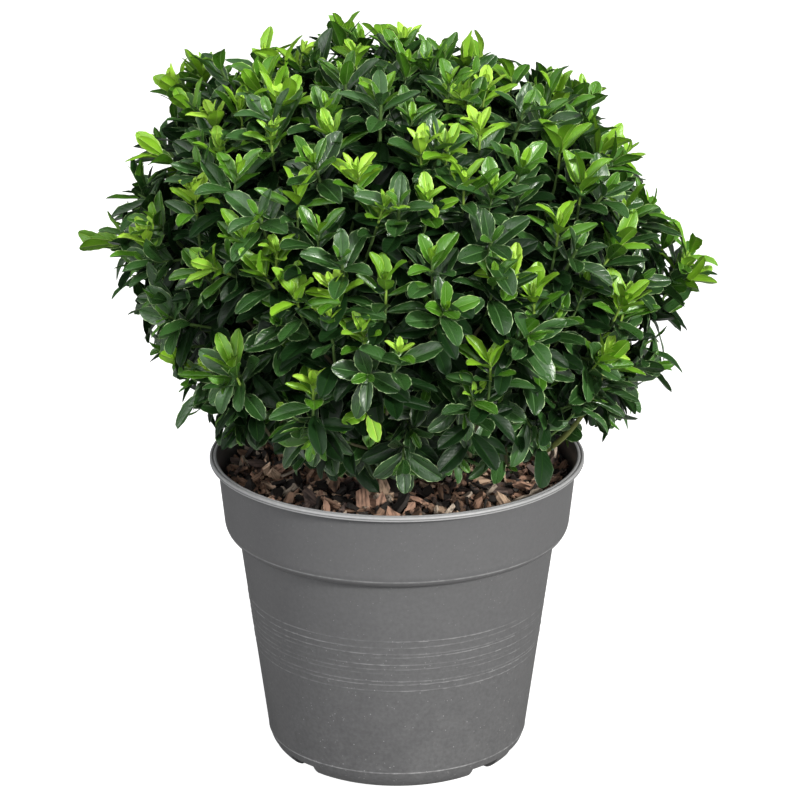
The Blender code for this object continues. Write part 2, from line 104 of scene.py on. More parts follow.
def dot(first: Array, second: Array) -> Array:
    """The scalar product along the last axis, which is kept."""
    return np.sum(first * second, axis=-1, keepdims=True)


def square_to(vectors: Array, along: Array) -> Array:
    """What is left of the vectors at right angles to the unit vectors along, at unit length."""
    return unit(vectors - dot(vectors, along) * along)


def polar(radius: Array, turn: Array, height: Array) -> Array:
    """Points from their radius, their turn from +X in radians and their height."""
    radius, turn, height = np.broadcast_arrays(radius, turn, height)
    return np.stack([radius * np.cos(turn), radius * np.sin(turn), height], axis=-1)


def bezier(start: Array, corner: Array, end: Array, share: Array) -> Array:
    """Points of a quadratic Bezier curve.

    With s for the share and b for 1 - s, a point is b b start + 2 b s corner + s s end.

    Args:
        start: Where the curves start, as (..., 3) or (..., 2).
        corner: The points that they bend towards.
        end: Where they end.
        share: Shares of the way, which make the second last axis.

    Returns:
        The points, as (..., shares, 3) or (..., shares, 2).
    """
    s = np.asarray(share)[:, None]
    back = 1.0 - s
    start, corner, end = (np.asarray(point)[..., None, :] for point in (start, corner, end))
    return back * back * start + 2.0 * back * s * corner + s * s * end


def ripples(places: Array, length: float, seed: int, waves: int = 8) -> Array:
    """A soft random relief, mostly between -1 and 1.

    It adds up sines whose crests lie across random directions, with wave lengths from 0.6 to 1.6
    times the given one, and divides the sum by the root of their number.

    Args:
        places: Points, as (..., 3).
        length: The middle wave length.
        seed: Picks the waves.
        waves: How many sines there are.

    Returns:
        The relief at each point.
    """
    rng = np.random.default_rng(seed)
    across = unit(rng.normal(size=(waves, 3))) * math.tau / (length * rng.uniform(0.6, 1.6, (waves, 1)))
    return np.sin(places @ across.T + rng.uniform(0.0, math.tau, waves)).sum(-1) / math.sqrt(waves)


@dataclass
class Surface:
    """The points and faces of a piece.

    Attributes:
        points: Every point, as (points, 3).
        faces: Arrays of faces, each of which holds triangles alone or quads alone.
        tones: For each of those arrays, the material slot of each face.
        place: Where each point lies on its pattern, as (points, 3).
    """

    points: Array
    faces: list[Whole]
    tones: list[Whole]
    place: Array

    @property
    def triangles(self) -> int:
        """How many triangles the faces come to."""
        return sum(len(group) * (group.shape[1] - 2) for group in self.faces)

    def mesh(self, name: str, crease: float) -> bpy.types.Mesh:
        """The surface as a mesh that is shaded smooth, except over creases.

        Args:
            name: The mesh's name.
            crease: The angle in degrees past which an edge stays sharp.

        Returns:
            The mesh, with the pattern's places in the attribute "place".
        """
        corners = np.concatenate([group.ravel() for group in self.faces])
        sizes = np.concatenate([np.full(len(group), group.shape[1]) for group in self.faces])
        starts = np.concatenate([[0], np.cumsum(sizes)[:-1]])
        mesh = bpy.data.meshes.new(name)
        mesh.vertices.add(len(self.points))
        mesh.vertices.foreach_set("co", self.points.astype(np.float32).ravel())
        mesh.loops.add(len(corners))
        mesh.loops.foreach_set("vertex_index", corners.astype(np.int32))
        mesh.polygons.add(len(sizes))
        mesh.polygons.foreach_set("loop_start", starts.astype(np.int32))
        mesh.polygons.foreach_set("material_index", np.concatenate(self.tones).astype(np.int32))
        mesh.attributes.new("place", "FLOAT_VECTOR", "POINT")
        mesh.attributes["place"].data.foreach_set("vector", self.place.astype(np.float32).ravel())
        mesh.update(calc_edges=True)
        mesh.validate()
        mesh.shade_smooth()
        mesh.set_sharp_from_angle(angle=math.radians(crease))
        return mesh


def joined(surfaces: list[Surface]) -> Surface:
    """Several surfaces as one, each with its own points."""
    shifts = np.cumsum([0] + [len(surface.points) for surface in surfaces])
    return Surface(
        np.concatenate([surface.points for surface in surfaces]),
        [group + shift for surface, shift in zip(surfaces, shifts) for group in surface.faces],
        [group for surface in surfaces for group in surface.tones],
        np.concatenate([surface.place for surface in surfaces]),
    )


def closed_skins(rings: Array, poles: Array, place: Array | None = None) -> Surface:
    """Rings of points joined into closed skins that face outward.

    Neighbouring rings are joined by quads, and the first and last ring by a fan of triangles to a
    pole. A ring runs anticlockwise as seen from the skin's far end.

    Args:
        rings: The points, as (skins, rings, sides, 3).
        poles: The two poles of each skin, as (skins, 2, 3).
        place: Where the ring points lie on the pattern, or None for where they are.

    Returns:
        The surface, all in its first tone.
    """
    skins, rows, sides, _ = rings.shape
    ring = np.arange(rows * sides).reshape(rows, sides)
    turned = np.roll(ring, -1, axis=1)
    quads = np.stack([ring[:-1], turned[:-1], turned[1:], ring[1:]], -1).reshape(-1, 4)
    low = np.stack([np.full(sides, rows * sides), turned[0], ring[0]], -1)
    high = np.stack([np.full(sides, rows * sides + 1), ring[-1], turned[-1]], -1)
    fans = np.concatenate([low, high])
    shift = (np.arange(skins) * (rows * sides + 2))[:, None, None]
    where = rings if place is None else place
    ends = poles if place is None else np.stack([place[:, 0].mean(1), place[:, -1].mean(1)], 1)
    flat = (skins, rows * sides, 3)
    return Surface(
        np.concatenate([rings.reshape(flat), poles], 1).reshape(-1, 3),
        [(quads + shift).reshape(-1, 4), (fans + shift).reshape(-1, 3)],
        [np.zeros(skins * len(quads), int), np.zeros(skins * len(fans), int)],
        np.concatenate([where.reshape(flat), ends], 1).reshape(-1, 3),
    )


def tubes(paths: Array, radii: Array, sides: int, relief: float = 0.0, seed: int = 0) -> Surface:
    """Round limbs along paths, closed at both ends.

    A ring's point is the path's point, plus the radius times the cosine of its turn across the
    path and the sine over it. The pattern's place is that same turn at the radius, with the
    length along the path for its height, so that grain runs along the limb without a seam.

    Args:
        paths: The middle lines, as (limbs, rings, 3).
        radii: The radius at each ring, as (limbs, rings).
        sides: How many points a ring has.
        relief: How far furrows along the limb stand out, as a share of the radius.
        seed: Picks the furrows.

    Returns:
        The limbs as one surface.
    """
    along = unit(np.gradient(paths, axis=1))
    chord = unit(paths[:, -1:] - paths[:, :1])
    helper = np.where(np.abs(dot(chord, UP)) < 0.9, UP, ASIDE)
    across = unit(np.cross(along, np.broadcast_to(helper, along.shape)))
    over = np.cross(along, across)
    turn = np.arange(sides) * math.tau / sides
    wave = np.cos(turn)[:, None] * across[:, :, None] + np.sin(turn)[:, None] * over[:, :, None]
    steps = np.linalg.norm(np.diff(paths, axis=1), axis=-1)
    length = np.concatenate([np.zeros((len(paths), 1)), np.cumsum(steps, 1)], 1)
    rod = radii[..., None] * np.ones(sides)
    place = np.stack([rod * np.cos(turn), rod * np.sin(turn), length[..., None] + 0.0 * rod], -1)
    place = place + np.arange(len(paths))[:, None, None, None] * 0.37
    if relief:
        rod = rod * (1.0 + relief * ripples(place * (1.0, 1.0, 0.22), 0.005, seed))
    rings = paths[:, :, None] + rod[..., None] * wave
    return closed_skins(rings, np.stack([paths[:, 0], paths[:, -1]], 1), place)


class Tree:
    """A shader tree that is being filled, in a material or in a shared group."""

    def __init__(self, tree: bpy.types.NodeTree) -> None:
        """Starts with the tree as it stands."""
        self.tree = tree

    def add(self, kind: str, **settings: object) -> bpy.types.Node:
        """A new node of that kind, with its properties set."""
        node = self.tree.nodes.new(kind)
        for name, value in settings.items():
            setattr(node, name, value)
        return node

    def put(self, value: object, socket: bpy.types.NodeSocket) -> None:
        """Links an output to the socket, or sets the socket to a plain value."""
        if isinstance(value, bpy.types.NodeSocket):
            self.tree.links.new(value, socket)
        else:
            socket.default_value = value

    def math(self, operation: str, *values: object, clamp: bool = False) -> bpy.types.NodeSocket:
        """The result of a sum on numbers or outputs."""
        node = self.add("ShaderNodeMath", operation=operation, use_clamp=clamp)
        for value, socket in zip(values, node.inputs):
            self.put(value, socket)
        return node.outputs[0]

    def noise(self, vector: object, scale: object, detail: float = 3.0) -> bpy.types.NodeSocket:
        """Soft noise from 0 to 1, at so many blotches a metre."""
        node = self.add("ShaderNodeTexNoise")
        self.put(vector, node.inputs["Vector"])
        self.put(scale, node.inputs["Scale"])
        node.inputs["Detail"].default_value = detail
        return node.outputs[0]

    def span(self, value: object, old: tuple[float, float], new: tuple[float, float]) -> bpy.types.NodeSocket:
        """A number carried from one span to another, and held inside it."""
        node = self.add("ShaderNodeMapRange")
        for number, socket in zip((value, *old, *new), node.inputs):
            self.put(number, socket)
        return node.outputs[0]

    def mix(self, share: object, first: object, second: object) -> bpy.types.NodeSocket:
        """The colour that lies a share of the way from the first to the second."""
        node = self.add("ShaderNodeMix", data_type="RGBA")
        for value, socket in ((share, node.inputs[0]), (first, node.inputs[6]), (second, node.inputs[7])):
            self.put(value, socket)
        return node.outputs[2]

    def stretched(self, vector: object, scale: Colour) -> bpy.types.NodeSocket:
        """A place with each of its axes scaled."""
        node = self.add("ShaderNodeMapping")
        self.put(vector, node.inputs["Vector"])
        node.inputs["Scale"].default_value = scale
        return node.outputs[0]


class Group:
    """A shared shader effect with named inputs and outputs, made the first time it is used."""

    name = "effect"
    inputs: dict[str, tuple[str, object]] = {}
    outputs: dict[str, str] = {}

    def fill(self, tree: Tree, given: bpy.types.Node, made: bpy.types.Node) -> None:
        """Puts the effect's nodes between its inputs and outputs."""
        raise NotImplementedError

    def group(self) -> bpy.types.NodeTree:
        """The effect's node group."""
        found = bpy.data.node_groups.get(self.name)
        if found:
            return found
        group = bpy.data.node_groups.new(self.name, "ShaderNodeTree")
        for label, (kind, value) in self.inputs.items():
            socket = group.interface.new_socket(label, in_out="INPUT", socket_type=kind)
            if value is not None:
                socket.default_value = value
        for label, kind in self.outputs.items():
            group.interface.new_socket(label, in_out="OUTPUT", socket_type=kind)
        tree = Tree(group)
        self.fill(tree, tree.add("NodeGroupInput"), tree.add("NodeGroupOutput"))
        return group

    def place(self, tree: Tree, **values: object) -> bpy.types.Node:
        """The effect in a material, with that material's own values."""
        node = tree.add("ShaderNodeGroup", node_tree=self.group())
        for label, value in values.items():
            tree.put(value, node.inputs[label.replace("_", " ")])
        return node


NUMBER = "NodeSocketFloat"
VECTOR = "NodeSocketVector"
TINT = "NodeSocketColor"


class DustScuffsAndPaintedLight(Group):
    """Cloudy dust, pale scuffs and specks, painted highlight with some abraded plastic along raised edges, and
    painted shade in creases.
    """

    name = "dust_and_scuffs"
    inputs = {
        "Place": (VECTOR, None),
        "Colour": (TINT, (0.1, 0.1, 0.1, 1.0)),
        "Dust": (TINT, (0.3, 0.3, 0.3, 1.0)),
        "Worn": (TINT, (0.4, 0.4, 0.4, 1.0)),
        "Dust amount": (NUMBER, 0.3),
        "Speck amount": (NUMBER, 0.5),
        "Crest": (NUMBER, 0.0),
        "Broken crest": (NUMBER, 0.0),
        "Grime": (NUMBER, 0.0),
    }
    outputs = {"Colour": TINT, "Roughness": NUMBER, "Height": NUMBER}

    def fill(self, tree: Tree, given: bpy.types.Node, made: bpy.types.Node) -> None:
        """Dust is broad noise, scuffs are noise drawn out sideways, specks are rare Voronoi dots; crests are
        painted paler and creases darker, as painted highlight and painted shade.
        """
        place, colour, dust, worn, amount, specks, crest, broken, painted_shade = given.outputs[:9]
        broad = tree.span(tree.noise(place, 11.0, 6.0), (0.40, 0.68), (0.0, 1.0))
        cloud = tree.span(tree.noise(place, 60.0, 8.0), (0.47, 0.62), (0.0, 1.0))
        streak = tree.noise(tree.stretched(place, (1.0, 1.0, 16.0)), 42.0, 6.0)
        scuff = tree.span(streak, (0.58, 0.70), (0.0, 1.0))
        veil = tree.math("MULTIPLY", tree.math("ADD", cloud, scuff), 0.6)
        veil = tree.math("ADD", tree.math("MULTIPLY", broad, 0.6), veil)
        veil = tree.math("MULTIPLY", veil, amount, clamp=True)
        dusty = tree.mix(veil, colour, dust)
        pale = tree.mix(self.dots(tree, place, specks), dusty, worn)
        patchy = tree.span(tree.noise(place, 170.0, 4.0), (0.40, 0.58), (0.10, 1.0))
        # Crests turn pale: painted highlight, partly abraded plastic, broken up by noise.
        highlight_and_wear = tree.math("ADD", crest, tree.math("MULTIPLY", broken, patchy), clamp=True)
        # Creases and undersides turn nearly black: painted shade.
        edged = tree.mix(painted_shade, tree.mix(highlight_and_wear, pale, worn), (0.008, 0.008, 0.008, 1.0))
        fine = tree.noise(place, 380.0, 5.0)
        shade = tree.add("ShaderNodeVectorMath", operation="SCALE")
        tree.put(edged, shade.inputs[0])
        swing = tree.math("ADD", 0.015, tree.math("MULTIPLY", amount, 0.55))
        extremes = (tree.math("SUBTRACT", 1.0, swing), tree.math("ADD", 1.0, swing))
        tree.put(tree.span(fine, (0.3, 0.7), extremes), shade.inputs["Scale"])
        tree.put(shade.outputs[0], made.inputs["Colour"])
        tree.put(tree.span(veil, (0.0, 0.5), (0.44, 0.66)), made.inputs["Roughness"])
        tree.put(fine, made.inputs["Height"])

    @staticmethod
    def dots(tree: Tree, place: object, specks: object) -> bpy.types.NodeSocket:
        """Specks of two sizes: small Voronoi dots, kept only where a coarse noise is high."""
        masks = []
        for scale, size, rare in ((170.0, 0.040, 0.58), (330.0, 0.070, 0.50)):
            dots = tree.add("ShaderNodeTexVoronoi")
            tree.put(place, dots.inputs["Vector"])
            dots.inputs["Scale"].default_value = scale
            near = tree.span(dots.outputs["Distance"], (size, 2.2 * size), (1.0, 0.0))
            kept = tree.span(tree.noise(place, 0.36 * scale, 1.0), (rare, rare + 0.06), (0.0, 1.0))
            masks.append(tree.math("MULTIPLY", near, kept))
        both = tree.math("MAXIMUM", *masks)
        return tree.math("MULTIPLY", both, specks, clamp=True)


class Fibre(Group):
    """Fibres and cracks that run along a limb or a chip."""

    name = "fibre"
    inputs = {
        "Place": (VECTOR, None),
        "Colour": (TINT, (0.1, 0.1, 0.1, 1.0)),
        "Crack": (TINT, (0.02, 0.02, 0.02, 1.0)),
        "Scale": (NUMBER, 300.0),
        "Crack amount": (NUMBER, 0.5),
    }
    outputs = {"Colour": TINT, "Roughness": NUMBER, "Height": NUMBER}

    def fill(self, tree: Tree, given: bpy.types.Node, made: bpy.types.Node) -> None:
        """Noise on a place that is shortened along the fibre, so that its blotches are drawn out."""
        place, colour, crack, scale, amount = given.outputs[:5]
        drawn = tree.stretched(place, (1.0, 1.0, 0.16))
        fibre = tree.noise(drawn, scale, 4.0)
        patch = tree.noise(place, tree.math("MULTIPLY", scale, 0.3), 2.0)
        dark = tree.span(tree.math("ADD", fibre, tree.math("MULTIPLY", patch, 0.4)), (0.5, 0.78), (1.0, 0.0))
        tree.put(tree.mix(tree.math("MULTIPLY", dark, amount), colour, crack), made.inputs["Colour"])
        tree.put(tree.span(fibre, (0.2, 0.8), (0.95, 0.7)), made.inputs["Roughness"])
        tree.put(fibre, made.inputs["Height"])


class BladeRelief(Group):
    """The sunk midrib, the cushioned halves, the side veins and the fine skin of a leaf blade."""

    name = "blade_relief"
    inputs = {"Place": (VECTOR, None), "Gloss": (NUMBER, 0.35)}
    outputs = {"Roughness": NUMBER, "Height": NUMBER}

    def fill(self, tree: Tree, given: bpy.types.Node, made: bpy.types.Node) -> None:
        """The place holds how far across the blade, how far along it and which leaf it is."""
        place, gloss = given.outputs[:2]
        parts = tree.add("ShaderNodeSeparateXYZ")
        tree.put(place, parts.inputs[0])
        across = tree.math("ABSOLUTE", parts.outputs["X"])
        rib = tree.span(across, (0.0, 0.12), (0.0, 1.0))
        from_ridge = tree.math("SUBTRACT", across, 0.52)
        pillow = tree.math("MULTIPLY", tree.math("MULTIPLY", from_ridge, from_ridge), -1.8)
        slant = tree.math("SUBTRACT", parts.outputs["Y"], tree.math("MULTIPLY", across, 0.22))
        vein = tree.math("ABSOLUTE", tree.math("SINE", tree.math("MULTIPLY", slant, 24.0)))
        side = tree.math("MULTIPLY", tree.span(vein, (0.0, 0.3), (0.0, 1.0)), 0.10)
        skin = tree.noise(place, 5.0, 2.0)
        raised = tree.math("ADD", tree.math("MULTIPLY", rib, 0.10), tree.math("ADD", side, pillow))
        tree.put(tree.math("ADD", raised, tree.math("MULTIPLY", skin, 0.25)), made.inputs["Height"])
        worn = tree.span(skin, (0.3, 0.7), (-0.05, 0.09))
        tree.put(tree.math("ADD", gloss, worn), made.inputs["Roughness"])


def solid(name: str) -> tuple[bpy.types.Material, Tree, bpy.types.Node]:
    """A new material, its tree and its shader."""
    material = bpy.data.materials.new(name)
    material.use_nodes = True
    return material, Tree(material.node_tree), material.node_tree.nodes["Principled BSDF"]


def bumped(tree: Tree, shader: bpy.types.Node, height: object, strength: float, depth: float) -> None:
    """Gives a shader the bump of a height."""
    bump = tree.add("ShaderNodeBump")
    bump.inputs["Strength"].default_value = strength
    bump.inputs["Distance"].default_value = depth
    tree.put(height, bump.inputs["Height"])
    tree.put(bump.outputs[0], shader.inputs["Normal"])


@dataclass(frozen=True)
class MouldedPlastic:
    """Matt grey plastic, darker towards the foot, with dust and specks mostly there, painted highlight with some
    abraded plastic on raised edges, and painted shade in creases.
    """

    name: str = "grey_moulded_plastic"
    colour: Colour = (0.099, 0.0985, 0.1015)
    foot: Colour = (0.083, 0.0825, 0.085)
    dust: Colour = (0.138, 0.137, 0.138)
    # The pale colour of the specks and abraded spots, which is also the painted highlight on the lip and the
    # raised edges.
    worn: Colour = (0.355, 0.355, 0.358)
    amount: float = 0.24

    def material(self) -> bpy.types.Material:
        """The finish as a material on the object's own coordinates and its map of painted highlight on raised
        edges and painted shade in creases.
        """
        material, tree, shader = solid(self.name)
        place = tree.add("ShaderNodeTexCoord").outputs["Object"]
        height = tree.add("ShaderNodeSeparateXYZ")
        tree.put(place, height.inputs[0])
        low = tree.span(height.outputs["Z"], (0.02, 0.19), (1.0, 0.30))
        high = tree.span(height.outputs["Z"], (0.03, 0.17), (0.0, 1.0))
        raised = tree.add("ShaderNodeSeparateXYZ")
        tree.put(tree.add("ShaderNodeAttribute", attribute_name="place").outputs["Vector"], raised.inputs[0])
        dirt = DustScuffsAndPaintedLight().place(
            tree,
            Place=place,
            Colour=tree.mix(high, (*self.foot, 1.0), (*self.colour, 1.0)),
            Dust=(*self.dust, 1.0),
            Worn=(*self.worn, 1.0),
            Dust_amount=tree.math("MULTIPLY", low, self.amount),
            Speck_amount=tree.math("MULTIPLY", low, 0.8),
            # The place map's channels: even painted highlight, patchy painted highlight with abraded plastic, and
            # painted shade.
            Crest=raised.outputs["X"],
            Broken_crest=raised.outputs["Y"],
            Grime=raised.outputs["Z"],
        )
        tree.put(dirt.outputs["Colour"], shader.inputs["Base Color"])
        tree.put(dirt.outputs["Roughness"], shader.inputs["Roughness"])
        bumped(tree, shader, dirt.outputs["Height"], 0.10, 0.0002)
        return material


@dataclass(frozen=True)
class Earth:
    """Dark, damp potting soil with paler crumbs."""

    name: str = "dark_potting_soil"
    colour: Colour = (0.020, 0.013, 0.009)
    crumb: Colour = (0.085, 0.052, 0.034)

    def material(self) -> bpy.types.Material:
        """The finish as a material on the object's own coordinates."""
        material, tree, shader = solid(self.name)
        place = tree.add("ShaderNodeTexCoord").outputs["Object"]
        lumps = tree.noise(place, 260.0, 5.0)
        share = tree.span(lumps, (0.45, 0.7), (0.0, 1.0))
        tree.put(tree.mix(share, (*self.colour, 1.0), (*self.crumb, 1.0)), shader.inputs["Base Color"])
        tree.put(tree.span(lumps, (0.2, 0.8), (0.98, 0.82)), shader.inputs["Roughness"])
        bumped(tree, shader, lumps, 0.9, 0.002)
        return material


@dataclass(frozen=True)
class Wood:
    """Bark or split wood, with fibres that follow the piece and darker cracks."""

    name: str
    colour: Colour
    crack: Colour
    scale: float = 300.0
    amount: float = 0.6
    depth: float = 0.0008

    def material(self) -> bpy.types.Material:
        """The finish as a material on the piece's own pattern."""
        material, tree, shader = solid(self.name)
        place = tree.add("ShaderNodeAttribute", attribute_name="place").outputs["Vector"]
        grain = Fibre().place(
            tree,
            Place=place,
            Colour=(*self.colour, 1.0),
            Crack=(*self.crack, 1.0),
            Scale=self.scale,
            Crack_amount=self.amount,
        )
        tree.put(grain.outputs["Colour"], shader.inputs["Base Color"])
        tree.put(grain.outputs["Roughness"], shader.inputs["Roughness"])
        bumped(tree, shader, grain.outputs["Height"], 0.7, self.depth)
        return material


@dataclass(frozen=True)
class Blade:
    """A leaf's plain green, with its gloss, ribs and veins in relief."""

    name: str
    colour: Colour
    gloss: float = 0.36
    shine: float = 0.5
    depth: float = 0.0011

    def material(self) -> bpy.types.Material:
        """The finish as a material on the leaf's own pattern."""
        material, tree, shader = solid(self.name)
        place = tree.add("ShaderNodeAttribute", attribute_name="place").outputs["Vector"]
        shader.inputs["Base Color"].default_value = (*self.colour, 1.0)
        shader.inputs["Specular IOR Level"].default_value = self.shine
        relief = BladeRelief().place(tree, Place=place, Gloss=self.gloss)
        tree.put(relief.outputs["Roughness"], shader.inputs["Roughness"])
        bumped(tree, shader, relief.outputs["Height"], 0.8, self.depth)
        return material


@dataclass(frozen=True)
class StagePaper:
    """The plain pale floor, which the camera sees paler than it lights the plant."""

    name: str = "pale_floor"
    colour: Colour = (0.36, 0.36, 0.36)
    glow: float = 0.95
    dark_within: tuple[float, float] = (0.0560, 0.0620)

    def material(self) -> bpy.types.Material:
        """The finish as a plain matt material."""
        material, tree, shader = solid(self.name)
        shader.inputs["Base Color"].default_value = (*self.colour, 1.0)
        shader.inputs["Roughness"].default_value = 0.9
        shader.inputs["Specular IOR Level"].default_value = 0.1
        shader.inputs["Emission Color"].default_value = (1.0, 1.0, 1.0, 1.0)
        seen = tree.add("ShaderNodeLightPath").outputs["Is Camera Ray"]
        away = tree.add("ShaderNodeVectorMath", operation="LENGTH")
        tree.put(tree.add("ShaderNodeTexCoord").outputs["Object"], away.inputs[0])
        open_floor = tree.span(away.outputs["Value"], self.dark_within, (0.0, self.glow))
        tree.put(tree.math("MULTIPLY", seen, open_floor), shader.inputs["Emission Strength"])
        return material


@dataclass
class Workshop:
    """Makes objects of surfaces, hangs them on the body and hides the parts of the frame that they stand for."""

    finished: dict[str, bpy.types.Material] = field(default_factory=dict)

    def finish(self, kind: object) -> bpy.types.Material:
        """The material of a finish, made once."""
        if kind.name not in self.finished:
            self.finished[kind.name] = kind.material()
        return self.finished[kind.name]

    def show(
        self,
        name: str,
        surface: Surface,
        finishes: list,
        nodes: list[str],
        crease: float = 38.0,
    ) -> None:
        """Puts a piece into the scene.

        Args:
            name: The piece's name.
            surface: Its points and faces.
            finishes: The finish of each of its tones.
            nodes: The nodes of the frame that it stands for.
            crease: The angle in degrees past which an edge stays sharp.
        """
        mesh = surface.mesh(name, crease)
        for kind in finishes:
            mesh.materials.append(self.finish(kind))
        piece = bpy.data.objects.new(name, mesh)
        bpy.context.scene.collection.objects.link(piece)
        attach(piece, BODY)
        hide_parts(*nodes)
        LOG.info("%s: %d triangles for %s", name, surface.triangles, ", ".join(nodes))


@dataclass
class NurseryPot:
    """The turned plastic pot: foot, body with its ridges, collar, lip and inner wall.

    Radii and heights are in millimetres, as pairs of radius and height.
    """

    sides: int = 288
    foot: tuple[float, float] = (80.0, 0.0)
    foot_corner: tuple[float, float] = (90.5, 4.0)
    body_low: tuple[float, float] = (92.0, 19.0)
    body_high: tuple[float, float] = (111.0, 163.6)
    collar_edge: tuple[float, float] = (116.0, 163.0)
    collar_corner: tuple[float, float] = (120.1, 165.6)
    collar_low: tuple[float, float] = (120.5, 172.5)
    collar_high: tuple[float, float] = (124.8, 213.8)
    ridge_span: tuple[float, float] = (80.0, 118.0)
    ridge_count: int = 10
    ridge_rise: float = 0.20
    ridge_paleness: float = 0.36
    ridge_width: float = 0.36
    ridge_spread: float = 0.9
    parting: float = 14.6
    notches: tuple[float, ...] = (-130.0, -103.0, -77.0, -48.5, 44.0, 70.0, 102.0, 130.0)
    notch_half: float = 7.8
    notch_height: float = 8.8
    notch_foot: float = 70.0
    notch_back: float = 70.4

    def profile(self) -> Array:
        """Radius and height from the underside's middle, up the outside, and down the inside.

        The foot and the collar's lower edge are Bezier curves, and the sides are straight lines.
        The lip is a rounded band with a fine groove on top, and the parting line is a small rib.

        Returns:
            The (radius, height) points in millimetres, without the two poles.
        """
        base = [(r, 0.0) for r in (25.0, 50.0, self.notch_foot, self.notch_back)]
        foot = bezier(self.foot, self.foot_corner, self.body_low, np.linspace(0.0, 1.0, 72))
        low, high = self.ridge_span
        heights = np.concatenate([
            np.arange(self.body_low[1] + 3.0, low - 3.0, 5.0),
            np.arange(low - 2.0, high + 2.0, 0.35),
            np.arange(high + 4.0, self.body_high[1] - 4.0, 5.0),
            np.arange(self.body_high[1] - 2.8, self.body_high[1] - 0.1, 0.5),
        ])
        rise = (heights - self.body_low[1]) / (self.body_high[1] - self.body_low[1])
        body = np.stack([self.body_low[0] + rise * (self.body_high[0] - self.body_low[0]), heights], 1)
        edge = [self.body_high, (112.2, 163.3), (115.2, 162.8), (115.8, 162.8)]
        turn_in = bezier(self.collar_edge, self.collar_corner, self.collar_low, np.linspace(0.0, 1.0, 24))
        share = np.concatenate([np.linspace(0.1, 0.93, 9), np.linspace(0.945, 1.0, 6)])[:, None]
        collar = np.array(self.collar_low) * (1.0 - share) + np.array(self.collar_high) * share
        lip = [
            (125.0, 214.0), (128.9, 214.0), (129.7, 214.2), (130.0, 214.7), (130.0, 215.2), (129.8, 215.4),
            (129.8, 215.6), (130.0, 215.8), (130.0, 216.4), (129.7, 216.9), (129.1, 217.3), (128.5, 217.35),
            (128.1, 217.2), (127.9, 216.8), (127.6, 216.8), (127.3, 217.2), (126.8, 217.35), (126.2, 217.4),
            (125.5, 217.2), (125.1, 216.9), (124.9, 216.4), (124.1, 215.0), (122.8, 212.0),
        ]
        inner = [(121.4, 200.0), (118.6, 173.0), (114.0, 165.0), (109.0, 161.5), (99.0, 90.0), (90.0, 19.0), (78.0, 2.0), (40.0, 2.0)]
        profile = np.concatenate([base, foot, body, edge, turn_in, collar, lip, inner])
        outer = np.arange(len(profile)) < len(profile) - len(inner)
        profile[:, 0] += 0.3 * outer * np.exp(-(((profile[:, 1] - self.parting) / 0.45) ** 2))
        return profile

    def turns(self) -> Array:
        """Evenly spaced turns in degrees, with two more close together at each notch's side."""
        even = np.arange(self.sides) * 360.0 / self.sides
        sides = self.notch_turns()[:, None] + np.array((-1.0, 1.0)) * self.notch_half
        close = (sides[..., None] + np.array((-0.1, 0.1))).ravel() % 360.0
        return np.sort(np.concatenate([even, close]))

    def notch_turns(self) -> Array:
        """The turns of the notches' middles in degrees, where -90 is the front."""
        return np.array(self.notches) - 90.0

    def surface(self) -> Surface:
        """The pot as one skin.

        Each ring of the profile is turned about the upright axis. A ridge adds its rise times the
        bell curve of the height from its middle, and soft ripples break it up round the pot. A
        notch lifts the foot along a slope from its own foot to its back, and level from there.

        Returns:
            The closed surface.
        """
        radius, height = (column[:, None] for column in self.profile().T)
        turns = self.turns()[None, :]
        outside = np.arange(len(radius))[:, None] < len(radius) - 12
        # Painted highlight, patchy paleness and painted shade, on the outside only.
        steady, broken, painted_shade = (mask * outside + 0.0 * turns for mask in self.marks(radius, height))
        for index, middle in enumerate(np.linspace(*self.ridge_span, self.ridge_count)):
            around = polar(1.0, np.radians(turns), 0.6 * index)
            strength = np.clip(0.75 + 0.5 * ripples(around, 0.9, 40 + index), 0.15, 1.2)
            uneven = self.ridge_spread * math.sin(2.4 * index)
            waver = middle + uneven + 0.4 * ripples(around, 2.6, 80 + index)
            bell = strength * np.exp(-(((height - waver) / self.ridge_width) ** 2)) * outside
            radius = radius + self.ridge_rise * bell
            # Each ridge is also made paler along its top.
            broken = broken + self.ridge_paleness * bell
        away = np.abs((turns - self.notch_turns()[:, None, None] + 180.0) % 360.0 - 180.0).min(0)
        slope = np.clip((radius - self.notch_foot) / (self.notch_back - self.notch_foot), 0.0, 1.0)
        ceiling = np.where((away < self.notch_half) & outside, self.notch_height * slope, 0.0)
        height = np.maximum(height, ceiling)
        rings = polar(radius * MM, np.radians(turns), height * MM)[None]
        poles = np.array([[(0.0, 0.0, 0.0), (0.0, 0.0, 2.0 * MM)]])
        marks = np.stack([steady, broken, painted_shade], -1)
        return closed_skins(rings, poles, np.clip(marks, 0.0, 1.0)[None])

